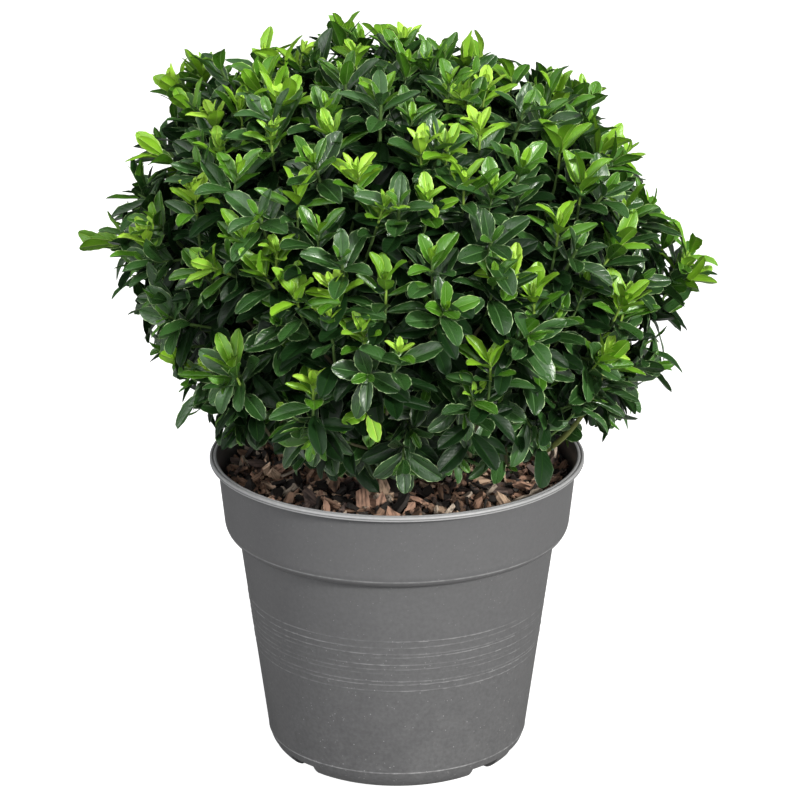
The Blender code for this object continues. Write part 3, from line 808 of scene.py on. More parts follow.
    def marks(self, radius: Array, height: Array) -> tuple[Array, Array, Array]:
        """Where the plastic is painted paler evenly, where it is painted paler in spots and where painted shade
        lies.

        Each is a bell curve of the distance from its middle, from 0 to 1.

        Args:
            radius: The radii in millimetres.
            height: The heights in millimetres.

        Returns:
            The even painted highlight on the lip's top, with some on the collar's edge and the parting line; the
            patchy paleness of the collar's edge and the parting line, partly painted highlight and partly abraded
            plastic; and the painted shade in the lip's groove, under the lip and under the collar.
        """
        rim = (height > 213.9) & (radius > 124.5)
        grooves = np.exp(-(((radius - 127.75) / 0.30) ** 2)) * (height > 216.0)
        grooves = grooves + np.exp(-(((height - 215.5) / 0.28) ** 2)) * (radius > 129.5)
        edge = np.exp(-(((height - 167.2) / 0.5) ** 2)) * (radius > 117.0)
        parting = np.exp(-(((height - self.parting) / 0.45) ** 2)) * (radius > 84.0)
        under_collar = np.exp(-(((height - 163.2) / 0.9) ** 2)) * (radius < 115.0)
        under_lip = np.exp(-(((height - 213.4) / 0.5) ** 2)) * (radius < 126.0)
        # The lip's top gets an even painted highlight, less in its groove; grooves and the undersides of the
        # collar and the lip get painted shade.
        steady = 0.95 * rim * (1.0 - 0.7 * grooves) + 0.28 * edge + 0.14 * parting
        return steady, 0.35 * edge + 0.5 * parting, 0.85 * (0.5 * grooves + under_collar + under_lip)


@dataclass
class SoilBed:
    """The root ball that fills the pot, with a crumbly top."""

    sides: int = 160
    top: float = 195.0
    crumb_height: float = 0.9

    def surface(self) -> Surface:
        """The soil as one skin: a turned block whose top is raised and sunk by ripples."""
        side = [(40.0, 2.6), (77.4, 2.6), (89.4, 19.0), (108.4, 165.6), (117.9, 174.6), (117.9, self.top - 1.2)]
        top = [(r, self.top) for r in np.linspace(117.0, 3.0, 48)]
        radius, height = (column[:, None] for column in np.array(side + top).T)
        turns = np.arange(self.sides)[None, :] * math.tau / self.sides
        rings = polar(radius * MM, turns, height * MM)
        crumbs = ripples(rings, 0.013, 3) + 0.6 * ripples(rings, 0.006, 4) - 0.4
        on_top = (height > self.top - 0.5)
        rings[..., 2] += on_top * crumbs * self.crumb_height * MM
        poles = np.array([[(0.0, 0.0, 2.6 * MM), (0.0, 0.0, self.top * MM)]])
        return closed_skins(rings[None], poles)


@dataclass
class BarkMulch:
    """The layer of split bark on the soil: flat, angular chips that lie across each other.

    A row of standing holds where a large chip that shows stands, to the right and to the back, its
    length and width, all in millimetres, its tilt, roll and yaw in degrees, and its tone.
    """

    count: int = 2300
    corners: int = 7
    inner: float = 0.016
    outer: float = 0.1208
    bed: float = 0.1962
    pile: float = 0.0080
    seed: int = 21
    standing: tuple[tuple[float, ...], ...] = (
        (-23.0, -74.0, 27.0, 13.0, -52.0, 6.0, 100.0, 2),
        (-11.0, -77.0, 25.0, 8.0, -50.0, 14.0, 80.0, 2),
        (-62.0, -66.0, 17.0, 14.0, -28.0, -10.0, 62.0, 1),
        (44.0, -75.0, 19.0, 9.0, -40.0, 22.0, 112.0, 1),
        (70.0, -64.0, 16.0, 8.0, -36.0, -16.0, 70.0, 5),
        (20.0, -84.0, 22.0, 9.0, -26.0, 12.0, 150.0, 2),
        (-40.0, -80.0, 20.0, 7.0, -30.0, -20.0, 40.0, 3),
        (86.0, -40.0, 18.0, 10.0, -34.0, 12.0, 160.0, 1),
    )

    tones = (
        Wood("chip_dark", (0.018, 0.013, 0.010), (0.004, 0.003, 0.002), 520.0, 0.9),
        Wood("chip_brown", (0.235, 0.138, 0.088), (0.016, 0.010, 0.007), 520.0, 0.9),
        Wood("chip_red", (0.370, 0.215, 0.146), (0.032, 0.016, 0.011), 520.0, 0.9),
        Wood("chip_grey", (0.420, 0.340, 0.265), (0.036, 0.027, 0.020), 520.0, 0.9),
        Wood("chip_tan", (0.600, 0.420, 0.290), (0.070, 0.038, 0.024), 520.0, 0.9),
        Wood("chip_plum", (0.110, 0.073, 0.060), (0.010, 0.007, 0.005), 520.0, 0.9),
    )
    shares = (0.31, 0.22, 0.18, 0.10, 0.08, 0.11)

    def surface(self) -> Surface:
        """The chips as one surface.

        A chip is a slab whose outline has random corners on an ellipse. It is bent a little along
        its length, turned and tilted, and laid on the bed at a spot of a golden-angle spiral, so
        that equal areas get equal numbers. The widest chips stay the furthest from the wall.

        Returns:
            The surface, with a tone for each chip.
        """
        rng = np.random.default_rng(self.seed)
        count, corners = self.count, self.corners
        size = np.searchsorted((0.5, 0.92), rng.random(count))
        length = MM * np.array(((4.0, 9.0), (9.0, 16.0), (16.0, 24.0)))[size] @ (0.5, 0.5)
        length *= rng.uniform(0.72, 1.28, count)
        length[-len(self.standing) :] = MM * np.array(self.standing)[:, 2]
        width = length * np.where(rng.random(count) < 0.12, 0.08, rng.uniform(0.26, 0.72, count))
        width[-len(self.standing) :] = MM * np.array(self.standing)[:, 3]
        thick = MM * rng.uniform(1.2, 3.4, count)
        share = (np.arange(count) + 0.5) / count
        spread = self.inner + (self.outer - self.inner) * np.sqrt(share)
        spread = np.clip(spread, None, self.outer - 0.56 * length)
        layer = rng.random(count) ** 1.3

        turn = (np.arange(corners) + rng.uniform(-0.42, 0.42, (count, corners))) * math.tau / corners
        stretch = rng.uniform(0.66, 1.16, (count, corners))
        x = 0.5 * length[:, None] * stretch * np.cos(turn)
        y = 0.5 * width[:, None] * stretch * np.sin(turn)
        arch = rng.uniform(-0.22, 0.28, (count, 1)) * (x / length[:, None]) ** 2 * length[:, None]
        half = 0.5 * thick[:, None] * rng.uniform(0.75, 1.2, (count, corners))
        over = np.stack([x, y, arch + half], -1)
        under = np.stack([x * 0.92, y * 0.92, arch - half], -1)
        middles = np.zeros((count, 2, 3))
        middles[:, 0, 2], middles[:, 1, 2] = -0.5 * thick, 0.5 * thick

        tilt = np.radians(rng.normal(0.0, 30.0, count))
        roll = np.radians(rng.normal(0.0, 38.0, count))
        yaw = rng.uniform(0.0, math.tau, count)
        shown = np.array(self.standing)
        last = slice(count - len(shown), count)
        tilt[last], roll[last], yaw[last] = np.radians(shown[:, 4:7].T)
        frame_x = np.stack([np.cos(tilt) * np.cos(yaw), np.cos(tilt) * np.sin(yaw), -np.sin(tilt)], -1)
        level = np.stack([-np.sin(yaw), np.cos(yaw), 0.0 * yaw], -1)
        lift = np.cross(frame_x, level)
        frame_y = np.cos(roll)[:, None] * level + np.sin(roll)[:, None] * lift
        frame_z = np.cross(frame_x, frame_y)
        axes = np.stack([frame_x, frame_y, frame_z], 1)
        drop = 0.5 * (length * np.abs(np.sin(tilt)) + width * np.abs(np.sin(roll)))
        height = self.bed + 0.55 * drop + layer * self.pile
        spot = polar(spread, np.arange(count) * GOLDEN_TURN, height)
        spot[last, :2] = MM * shown[:, :2]
        spot[last, 2] = self.bed + drop[last] - 2.0 * MM

        rings = np.stack([under, over], 1)
        placed = np.einsum("crkj,cji->crki", rings, axes) + spot[:, None, None]
        poles = np.einsum("crj,cji->cri", middles, axes) + spot[:, None]
        pattern = rings[..., (1, 2, 0)] + rng.uniform(0.0, 9.0, (count, 1, 1, 3))
        made = closed_skins(placed, poles, pattern)
        tone = rng.choice(len(self.tones), count, p=self.shares)
        tone[last] = shown[:, 7]
        made.tones = [np.repeat(tone, len(group) // count) for group in made.tones]
        return made


@dataclass
class Studio:
    """The floor, the soft lights and the camera at the photograph's angle."""

    distance: float = 2.0
    height: float = 0.9274
    aside: float = 0.0021
    pitch: float = 18.58
    lens: float = 137.4
    sensor: float = 36.0
    picture: int = 800
    floor_size: float = 14.0
    sun: float = 3.6
    sun_spread: float = 10.0
    sun_from: Colour = (0.95, -1.04, 0.65)
    sky: float = 0.06
    soft_lights: tuple[tuple[Colour, float, float], ...] = (
        ((0.30, -0.88, 0.20), 3.0, 0.60),
        ((0.12, -0.90, 0.42), 24.0, 3.0),
        ((-0.72, -0.56, 0.48), 18.0, 3.6),
        ((0.05, -0.30, 0.95), 9.0, 1.2),
        ((-0.96, -0.25, 0.12), 6.0, 0.90),
        ((0.96, -0.25, 0.12), 6.0, 0.70),
    )

    def floor(self) -> None:
        """A square floor just under the pot."""
        half = self.floor_size / 2.0
        mesh = bpy.data.meshes.new("floor")
        corners = [(-half, -half, -0.0004), (half, -half, -0.0004), (half, half, -0.0004), (-half, half, -0.0004)]
        mesh.from_pydata(corners, [], [(0, 1, 2, 3)])
        mesh.materials.append(StagePaper().material())
        floor = bpy.data.objects.new("floor", mesh)
        bpy.context.scene.collection.objects.link(floor)
        floor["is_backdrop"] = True

    def lamp(self) -> None:
        """A far light over the viewer's right shoulder, so many degrees across."""
        data = bpy.data.lights.new("key", "SUN")
        data.angle, data.energy, data.color = math.radians(self.sun_spread), self.sun, (1.0, 0.99, 0.95)
        lamp = bpy.data.objects.new("key", data)
        lamp.rotation_euler = (-Vector(self.sun_from)).to_track_quat("-Z", "Y").to_euler()
        bpy.context.scene.collection.objects.link(lamp)

    def sky_light(self) -> None:
        """An even sky with soft lights in it: three in front, one overhead and one at each side.

        A soft light has the way to its middle, a power and a strength. It shines by the cosine of
        the angle from its middle, to that power, times the strength. The camera sees plain white.
        """
        world = bpy.data.worlds.new("studio")
        world.use_nodes = True
        tree, shade = Tree(world.node_tree), world.node_tree.nodes["Background"]
        generated = tree.add("ShaderNodeTexCoord").outputs["Generated"]
        total = self.sky
        for middle, power, strength in self.soft_lights:
            facing = tree.add("ShaderNodeVectorMath", operation="DOT_PRODUCT")
            tree.put(generated, facing.inputs[0])
            facing.inputs[1].default_value = Vector(middle).normalized()
            lobe = tree.math("POWER", tree.math("MAXIMUM", facing.outputs["Value"], 0.0), power)
            total = tree.math("ADD", total, tree.math("MULTIPLY", lobe, strength))
        seen = tree.add("ShaderNodeLightPath").outputs["Is Camera Ray"]
        unseen = tree.math("MULTIPLY", total, tree.math("SUBTRACT", 1.0, seen))
        tree.put(tree.math("ADD", unseen, seen), shade.inputs[1])
        shade.inputs[0].default_value = (0.98, 0.99, 1.0, 1.0)
        bpy.context.scene.world = world

    def camera(self) -> None:
        """The camera, level from side to side and pitched down."""
        data = bpy.data.cameras.new("camera")
        data.lens, data.sensor_width = self.lens, self.sensor
        data.clip_start, data.clip_end = 0.05, 60.0
        camera = bpy.data.objects.new("camera", data)
        camera.location = (self.aside, -self.distance, self.height)
        camera.rotation_euler = (math.radians(90.0 - self.pitch), 0.0, 0.0)
        bpy.context.scene.collection.objects.link(camera)
        bpy.context.scene.camera = camera

    def rays(self, pixels: Array) -> tuple[Array, Array]:
        """The camera's place, and the unit direction in which it sees each pixel of the picture.

        Args:
            pixels: How far right and how far down each lies in the photograph, as (pixels, 2).

        Returns:
            The place and the directions.
        """
        pitch = math.radians(self.pitch)
        ahead = np.array((0.0, math.cos(pitch), -math.sin(pitch)))
        above = np.array((0.0, math.sin(pitch), math.cos(pitch)))
        right, down = (pixels.T - self.picture / 2.0)[..., None] * self.sensor / (self.lens * self.picture)
        return np.array((self.aside, -self.distance, self.height)), unit(ahead + right * ASIDE - down * above)

    def pixels(self, points: Array) -> Array:
        """How far right and how far down in the picture the camera sees points."""
        pitch = math.radians(self.pitch)
        away = points - np.array((self.aside, -self.distance, self.height))
        ahead = away @ np.array((0.0, math.cos(pitch), -math.sin(pitch)))
        above = away @ np.array((0.0, math.sin(pitch), math.cos(pitch)))
        scale = self.lens * self.picture / self.sensor
        return np.stack([away[..., 0], -above], -1) / ahead[..., None] * scale + self.picture / 2.0

    def build(self) -> None:
        """Sets up the stage."""
        self.floor()
        self.sky_light()
        self.lamp()
        self.camera()
        view = bpy.context.scene.view_settings
        view.view_transform, view.look = "Standard", "None"
        LOG.info("studio: floor, soft lights and camera")


@dataclass
class Crown:
    """The rule that the crown grows by, with the same values as the part's source."""

    centre: tuple[float, float, float] = (0.0, 0.0, 0.360)
    radius: float = 0.211
    rise: float = 0.163
    drop: float = 0.206
    lean: float = -0.10
    upper_power: float = 2.25
    lower_power: float = 1.8
    floor: float = 0.2075
    masses: int = 6
    first_turn: float = 20.0
    side_slope: float = -8.0
    mass_middle: float = 0.57
    rim_radius: float = 0.119
    rim_height: float = 0.2225
    seed: int = 12
    main_count: int = 108
    lowest: float = -0.84
    main_reach: tuple[float, float] = (0.71, 0.87)
    main_variation: float = 0.04
    spread: float = 0.20
    lift: float = 0.42
    droop: float = 0.75
    trunk_top: tuple[float, float, float] = (0.004, 0.0, 0.232)
    fork_drops: tuple[float, float] = (0.004, 0.011)
    bend: tuple[float, float] = (0.046, 0.296)
    end: tuple[float, float] = (0.076, 0.294)
    leader_end: float = 0.412

    @property
    def middle(self) -> Array:
        """The crown's centre as an array."""
        return np.array(self.centre)

    @property
    def names(self) -> list[str]:
        """The masses' names, top first."""
        return ["top"] + [f"side_{index + 1}" for index in range(self.masses)]

    def reach(self, out: Array) -> Array:
        """How far the crown reaches along unit directions.

        With a for the part across, less the lean, over the radius, and b for the part upright over
        the rise or the drop, the reach is the sum of a and b, each to a power, to minus one over
        that power.

        Args:
            out: Unit directions, as (..., 3).

        Returns:
            The reach along each, as (...).
        """
        across = np.hypot(out[..., 0] - self.lean * out[..., 2], out[..., 1]) / self.radius
        rising = out[..., 2] > 0.0
        along = np.abs(out[..., 2]) / np.where(rising, self.rise, self.drop)
        power = np.where(rising, self.upper_power, self.lower_power)
        return (across**power + along**power) ** (-1.0 / power)

    def share(self, points: Array) -> Array:
        """How far out each point lies, as a share of the reach on its own line."""
        away = points - self.middle
        return np.linalg.norm(away, axis=-1) / self.reach(unit(away))

    def seen(self, studio: Studio, pixels: Array, depth: Array) -> Array:
        """The places in the crown that the camera sees at pixels of the photograph.

        Each is the first point on the pixel's ray whose share is under the given depth, or the
        ray's nearest point to the crown where it passes by.

        Args:
            studio: The studio with the camera.
            pixels: The pixels, as (places, 2).
            depth: The share that each lies under, as (places, 1).

        Returns:
            The places, as (places, 3).
        """
        eye, ways = studio.rays(pixels)
        along = np.linspace(studio.distance - 2.0 * self.radius, studio.distance + 2.0 * self.radius, 500)
        points = eye + ways[:, None] * along[:, None]
        share = self.share(points)
        inside = share < depth
        pick = np.where(inside.any(1), inside.argmax(1), share.argmin(1))
        return points[np.arange(len(pick)), pick]

    def clear(self, points: Array) -> NDArray[np.bool_]:
        """True for points over the rim, or well inside it and over the bark."""
        radius = np.hypot(points[..., 0], points[..., 1])
        over_rim = (points[..., 2] >= self.rim_height) | (radius <= self.rim_radius)
        return over_rim & (points[..., 2] > self.floor)

    def side_turns(self) -> Array:
        """The turns of the side masses in radians."""
        return np.radians(self.first_turn + 360.0 * np.arange(self.masses) / self.masses)

    def axes(self) -> Array:
        """The unit direction from the centre to each mass, top first."""
        slope = math.radians(self.side_slope)
        sides = polar(math.cos(slope), self.side_turns(), math.sin(slope))
        return np.concatenate([UP[None], sides])

    def mass_middles(self) -> Array:
        """Where each mass's twigs part, top first."""
        axes = self.axes()
        return self.middle + axes * (self.mass_middle * self.reach(axes))[:, None]

    def spiral(self, count: int) -> Array:
        """Unit directions spread evenly by the golden angle, from straight up to the lowest shoot."""
        rise = 1.0 - (1.0 - self.lowest) * (np.arange(count) + 0.5) / count
        return polar(np.sqrt(1.0 - rise * rise), np.arange(count) * GOLDEN_TURN, rise)

    def heading(self, out: Array, sway: Array) -> Array:
        """The way a shoot grows: outward, lifted at the top and less so below, and swayed."""
        lift = self.lift + self.droop * np.minimum(out[..., 2:], 0.0)
        return unit(out + UP * lift + sway)

    def main_sway(self, owner: Whole) -> tuple[Array, Array]:
        """The source's own random sway and length change for each main shoot.

        Args:
            owner: The mass that each main shoot belongs to.

        Returns:
            The sways, as (shoots, 3), and the changes, as (shoots,).
        """
        drawn = []
        for name in self.names:
            rng = random.Random(f"{self.seed} {name}")
            rows = [
                [rng.uniform(-self.spread, self.spread) for _ in range(3)]
                + [rng.uniform(-self.main_variation, self.main_variation)]
                for _ in range(self.main_count)
            ]
            drawn.append(rows)
        mine = np.array(drawn)[owner, np.arange(self.main_count)]
        return mine[:, :3], mine[:, 3]

    def boughs(self) -> tuple[Array, Array, Array]:
        """The fork point, the bend and the far end of each bough, top first."""
        top = np.array(self.trunk_top)
        drops = np.array(self.fork_drops)[np.arange(self.masses) % 2]
        forks = np.concatenate([top[None], top - drops[:, None] * UP])
        turns = self.side_turns()
        lead = np.array([[2.0 * top[0], top[0], (top[2] + self.leader_end) / 2.0]])
        bends = np.concatenate([lead, polar(self.bend[0], turns, self.bend[1])])
        ends = np.concatenate([UP[None] * self.leader_end, polar(self.end[0], turns, self.end[1])])
        return forks, bends, ends


@dataclass
class Shoots:
    """Leafy shoots, each with one row in every array.

    Attributes:
        out: The direction of the shoot from the crown's centre.
        root: Where its twig leaves older wood.
        tip: Where it ends.
        heading: The way it grows at its tip.
        bow: How it curves back from its tip, in parts per metre.
        thick: The twig's radius at its root.
        turn: How far its first pair of leaves is turned round it, in radians.
    """

    out: Array
    root: Array
    tip: Array
    heading: Array
    bow: Array
    thick: Array
    turn: Array

    def at(self, back: Array) -> Array:
        """Points at distances back from the tips: tip - heading d + bow d d."""
        d = np.broadcast_to(back, (len(self.tip), np.shape(back)[-1]))[..., None]
        return self.tip[:, None] - self.heading[:, None] * d + self.bow[:, None] * d * d

    def way(self, back: Array) -> Array:
        """The way the shoots grow at those distances: heading - 2 bow d."""
        d = np.broadcast_to(back, (len(self.tip), np.shape(back)[-1]))[..., None]
        return unit(self.heading[:, None] - 2.0 * self.bow[:, None] * d)

    def kept(self, keep: NDArray[np.bool_]) -> "Shoots":
        """The shoots for which keep is true."""
        return Shoots(*(getattr(self, name)[keep] for name in self.__dataclass_fields__))

    @staticmethod
    def together(groups: list["Shoots"]) -> "Shoots":
        """Several groups of shoots as one."""
        names = Shoots.__dataclass_fields__
        return Shoots(*(np.concatenate([getattr(group, name) for group in groups]) for name in names))


@dataclass
class WoodFrame:
    """The trunk, the boughs and the twigs that carry the shoots."""

    crown: Crown
    soil_top: float = 0.1953
    trunk_radius: float = 0.0095
    flare_radius: float = 0.0165
    flare_decay: float = 6.0
    root_lobes: int = 4
    root_turn: float = math.radians(35.0)
    fork_length: float = 0.026
    bough_radius: float = 0.0048
    leader_radius: float = 0.0058
    bough_tip: float = 0.0030
    bough_depths: tuple[tuple[float], ...] = ((0.74,), (0.86,), (0.90,))

    bark = Wood("stem_bark", (0.150, 0.122, 0.082), (0.040, 0.030, 0.020), 420.0, 0.65, 0.0011)
    twig = Wood("twig_bark", (0.105, 0.098, 0.045), (0.035, 0.030, 0.017), 700.0, 0.55, 0.0005)
    green = Wood("green_shoot", (0.070, 0.135, 0.026), (0.036, 0.070, 0.016), 600.0, 0.35, 0.0003)
    low = Wood("green_bough", (0.260, 0.310, 0.080), (0.090, 0.100, 0.030), 600.0, 0.5, 0.0004)
    new = Wood("new_shoot", (0.230, 0.370, 0.050), (0.130, 0.230, 0.036), 600.0, 0.3, 0.0002)

    def trunk(self) -> Surface:
        """The trunk from its flat cut on the soil to the fork.

        Its radius falls from the flare by a decaying exponential. Root lobes add a cosine of the
        turn that fades with height, and furrows are ripples drawn out along the trunk.

        Returns:
            The closed surface.
        """
        share = np.linspace(0.0, 1.0, 36)
        foot, top = self.soil_top, np.array(self.crown.trunk_top)
        path = np.stack([top[0] * share**2, 0.0 * share, foot + (top[2] - foot + 0.003) * share], 1)
        sides = 40
        turn = np.arange(sides) * math.tau / sides
        flare = (self.flare_radius - self.trunk_radius) * np.exp(-self.flare_decay * share)
        lobes = 1.0 + 0.26 * np.exp(-7.0 * share)[:, None] * np.cos(self.root_lobes * (turn - self.root_turn))
        close = np.where(share > 0.9, 1.0 - 0.5 * ((share - 0.9) / 0.1) ** 2, 1.0)
        rod = ((self.trunk_radius + flare) * close)[:, None] * lobes
        place = polar(rod, turn, path[:, 2:])
        rod = rod * (1.0 + 0.05 * ripples(place * (1.0, 1.0, 0.25), 0.006, 11))
        rings = path[:, None] + polar(rod, turn, 0.0 * rod)
        return closed_skins(rings[None], np.stack([path[0], path[-1]])[None], place[None])

    def bough_tubes(self) -> Surface:
        """The boughs: straight out of the trunk along their stubs, then over a Bezier bend."""
        forks, bends, ends = self.crown.boughs()
        way = unit(bends - forks)
        starts = forks + way * self.fork_length
        inside = bezier(forks - way * 0.002, forks + way * 0.012, starts, np.linspace(0.0, 0.9, 7))
        arch = bezier(starts, bends, ends, np.linspace(0.0, 1.0, 26))
        paths = np.concatenate([inside, arch], 1)
        share = np.linspace(0.0, 1.0, paths.shape[1])
        thick = np.full(len(forks), self.bough_radius)
        thick[0] = self.leader_radius
        swell = 1.0 + 0.22 * np.exp(-9.0 * share)
        radii = (thick[:, None] * (1.0 - share) + self.bough_tip * share) * swell
        return tubes(paths, radii, 14, 0.07, 12)

    def stems(self) -> Surface:
        """The stems that carry on from the boughs' tips to where each mass's twigs part."""
        _forks, bends, ends = self.crown.boughs()
        heading = unit(ends - bends)
        paths = bezier(ends + heading * 0.0004, ends + heading * 0.012, self.crown.mass_middles(), np.linspace(0.0, 1.0, 12))
        radii = np.broadcast_to(np.linspace(self.bough_tip, 0.0026, 12), paths.shape[:2])
        return tubes(paths, radii, 10, 0.06, 13)

    def low_bough_path(self, studio: Studio) -> Array:
        """The middle line of the green bough that shows low on the right, from the fork out.

        Args:
            studio: The studio with the camera.

        Returns:
            The points, as (points, 3), of which the last half are seen.
        """
        start, corner, end = self.crown.seen(studio, np.array(SEEN_BOUGH, float), self.bough_depths)
        fork = np.array(self.crown.trunk_top) - 0.006 * UP
        hidden = bezier(fork, start - unit(corner - start) * 0.03, start, np.linspace(0.0, 0.95, 18))
        return np.concatenate([hidden, bezier(start, corner, end, np.linspace(0.0, 1.0, 18))])

    def low_bough(self, studio: Studio) -> Surface:
        """The low bough as a surface in the second tone."""
        path = self.low_bough_path(studio)
        made = tubes(path[None], np.linspace(0.0029, 0.0013, len(path))[None], 10, 0.05, 14)
        made.tones = [group + 1 for group in made.tones]
        return made

    def twigs(self, shoots: Shoots, leafy: float, lively: NDArray[np.bool_]) -> Surface:
        """The twigs of the shoots, from their roots to their tips.

        Args:
            shoots: The shoots.
            leafy: The length below the tip that bears leaves and is green.
            lively: True for shoots with a lime tip.

        Returns:
            The surface, in the tones of twig bark, green shoot and new shoot.
        """
        back = np.array((1.0, 0.72, 0.46, 0.24, 0.1, 0.0)) * leafy
        ends = shoots.at(back)
        base, way = ends[:, 0], shoots.way(back)[:, 0]
        gap = np.linalg.norm(base - shoots.root, axis=-1, keepdims=True)
        ahead = np.clip(dot(way, unit(base - shoots.root)) + 0.35, 0.1, 1.0)
        lower = bezier(shoots.root, base - way * 0.45 * ahead * gap, base, np.linspace(0.0, 0.86, 6))
        paths = np.concatenate([lower, ends], 1)
        taper = np.linspace(1.0, 0.55, paths.shape[1])
        made = tubes(paths, shoots.thick[:, None] * taper, 6)
        sides, rows = 6, paths.shape[1]
        ring = np.repeat((np.arange(rows - 1) >= 7).astype(int), sides)
        tip = np.repeat((np.arange(rows - 1) >= 9).astype(int), sides)
        made.tones[0] = (ring[None] + tip[None] * lively[:, None]).ravel()
        fan = np.concatenate([np.zeros(sides, int), np.ones(sides, int)])
        made.tones[1] = (fan[None] * (1 + lively[:, None])).ravel()
        return made


@dataclass(frozen=True)
class Habit:
    """How a shoot grows: its pairs of leaves from the tip down.

    Attributes:
        back: How far each pair sits from the tip, in millimetres.
        length: Leaf lengths in millimetres.
        opening: Angles between leaf and shoot in degrees.
        ages: The age of each pair.
    """

    back: tuple[float, ...]
    length: tuple[float, ...]
    opening: tuple[float, ...]
    ages: tuple[Age, ...]


class Vigour(IntEnum):
    """How a shoot grows, from the liveliest to one in deep shade."""

    FLUSHING = 0
    BRIGHT = 1
    GROWING = 2
    RESTING = 3
    SHADED = 4
    BUDDING = 5


HABITS = {
    Vigour.FLUSHING: Habit(
        (0.0, 2.5, 5.5, 9.5, 15.0, 22.0, 30.0, 40.0),
        (12.0, 18.0, 22.0, 25.0, 29.0, 31.0, 33.0, 31.0),
        (14.0, 30.0, 44.0, 50.0, 55.0, 62.0, 70.0, 78.0),
        (Age.LIME, Age.LIME, Age.LIME, Age.FRESH, Age.MIDDLE, Age.MATURE, Age.OLD, Age.OLD),
    ),
    Vigour.BRIGHT: Habit(
        (0.0, 1.5, 5.5, 10.5, 16.5, 24.0, 32.0, 42.0),
        (10.0, 26.0, 28.0, 29.0, 31.0, 33.0, 33.0, 30.0),
        (12.0, 25.0, 43.0, 52.0, 58.0, 65.0, 72.0, 80.0),
        (Age.LIME, Age.FRESH, Age.FRESH, Age.MIDDLE, Age.MATURE, Age.MATURE, Age.OLD, Age.OLD),
    ),
    Vigour.GROWING: Habit(
        (0.0, 3.0, 7.5, 13.0, 19.0, 26.0, 34.0, 44.0),
        (14.0, 24.0, 29.0, 32.0, 34.0, 34.0, 33.0, 30.0),
        (16.0, 30.0, 42.0, 52.0, 60.0, 67.0, 74.0, 82.0),
        (Age.FRESH, Age.MIDDLE, Age.MIDDLE, Age.MATURE, Age.MATURE, Age.OLD, Age.OLD, Age.OLD),
    ),
    Vigour.RESTING: Habit(
        (0.0, 4.0, 9.0, 15.0, 22.0, 30.0, 39.0, 49.0),
        (16.0, 26.0, 32.0, 34.0, 34.0, 34.0, 33.0, 30.0),
        (22.0, 38.0, 48.0, 57.0, 65.0, 73.0, 80.0, 86.0),
        (Age.MIDDLE, Age.MATURE, Age.MATURE, Age.MATURE, Age.OLD, Age.OLD, Age.OLD, Age.OLD),
    ),
    # Shoots deep in the crown bear only old leaves, whose near-black is partly painted shade.
    Vigour.SHADED: Habit(
        (0.0, 5.0, 11.0, 18.0, 26.0, 35.0, 44.0, 54.0),
        (20.0, 30.0, 34.0, 35.0, 35.0, 34.0, 33.0, 31.0),
        (25.0, 45.0, 58.0, 66.0, 74.0, 80.0, 85.0, 90.0),
        (Age.OLD, Age.OLD, Age.OLD, Age.OLD, Age.OLD, Age.OLD, Age.OLD, Age.OLD),
    ),
    Vigour.BUDDING: Habit(
        (0.0, 2.0, 6.0, 12.0, 19.0, 27.0, 36.0, 46.0),
        (10.0, 15.0, 27.0, 32.0, 34.0, 34.0, 33.0, 30.0),
        (16.0, 40.0, 46.0, 55.0, 63.0, 70.0, 78.0, 85.0),
        (Age.LIME, Age.LIME, Age.MIDDLE, Age.MATURE, Age.MATURE, Age.OLD, Age.OLD, Age.OLD),
    ),
}

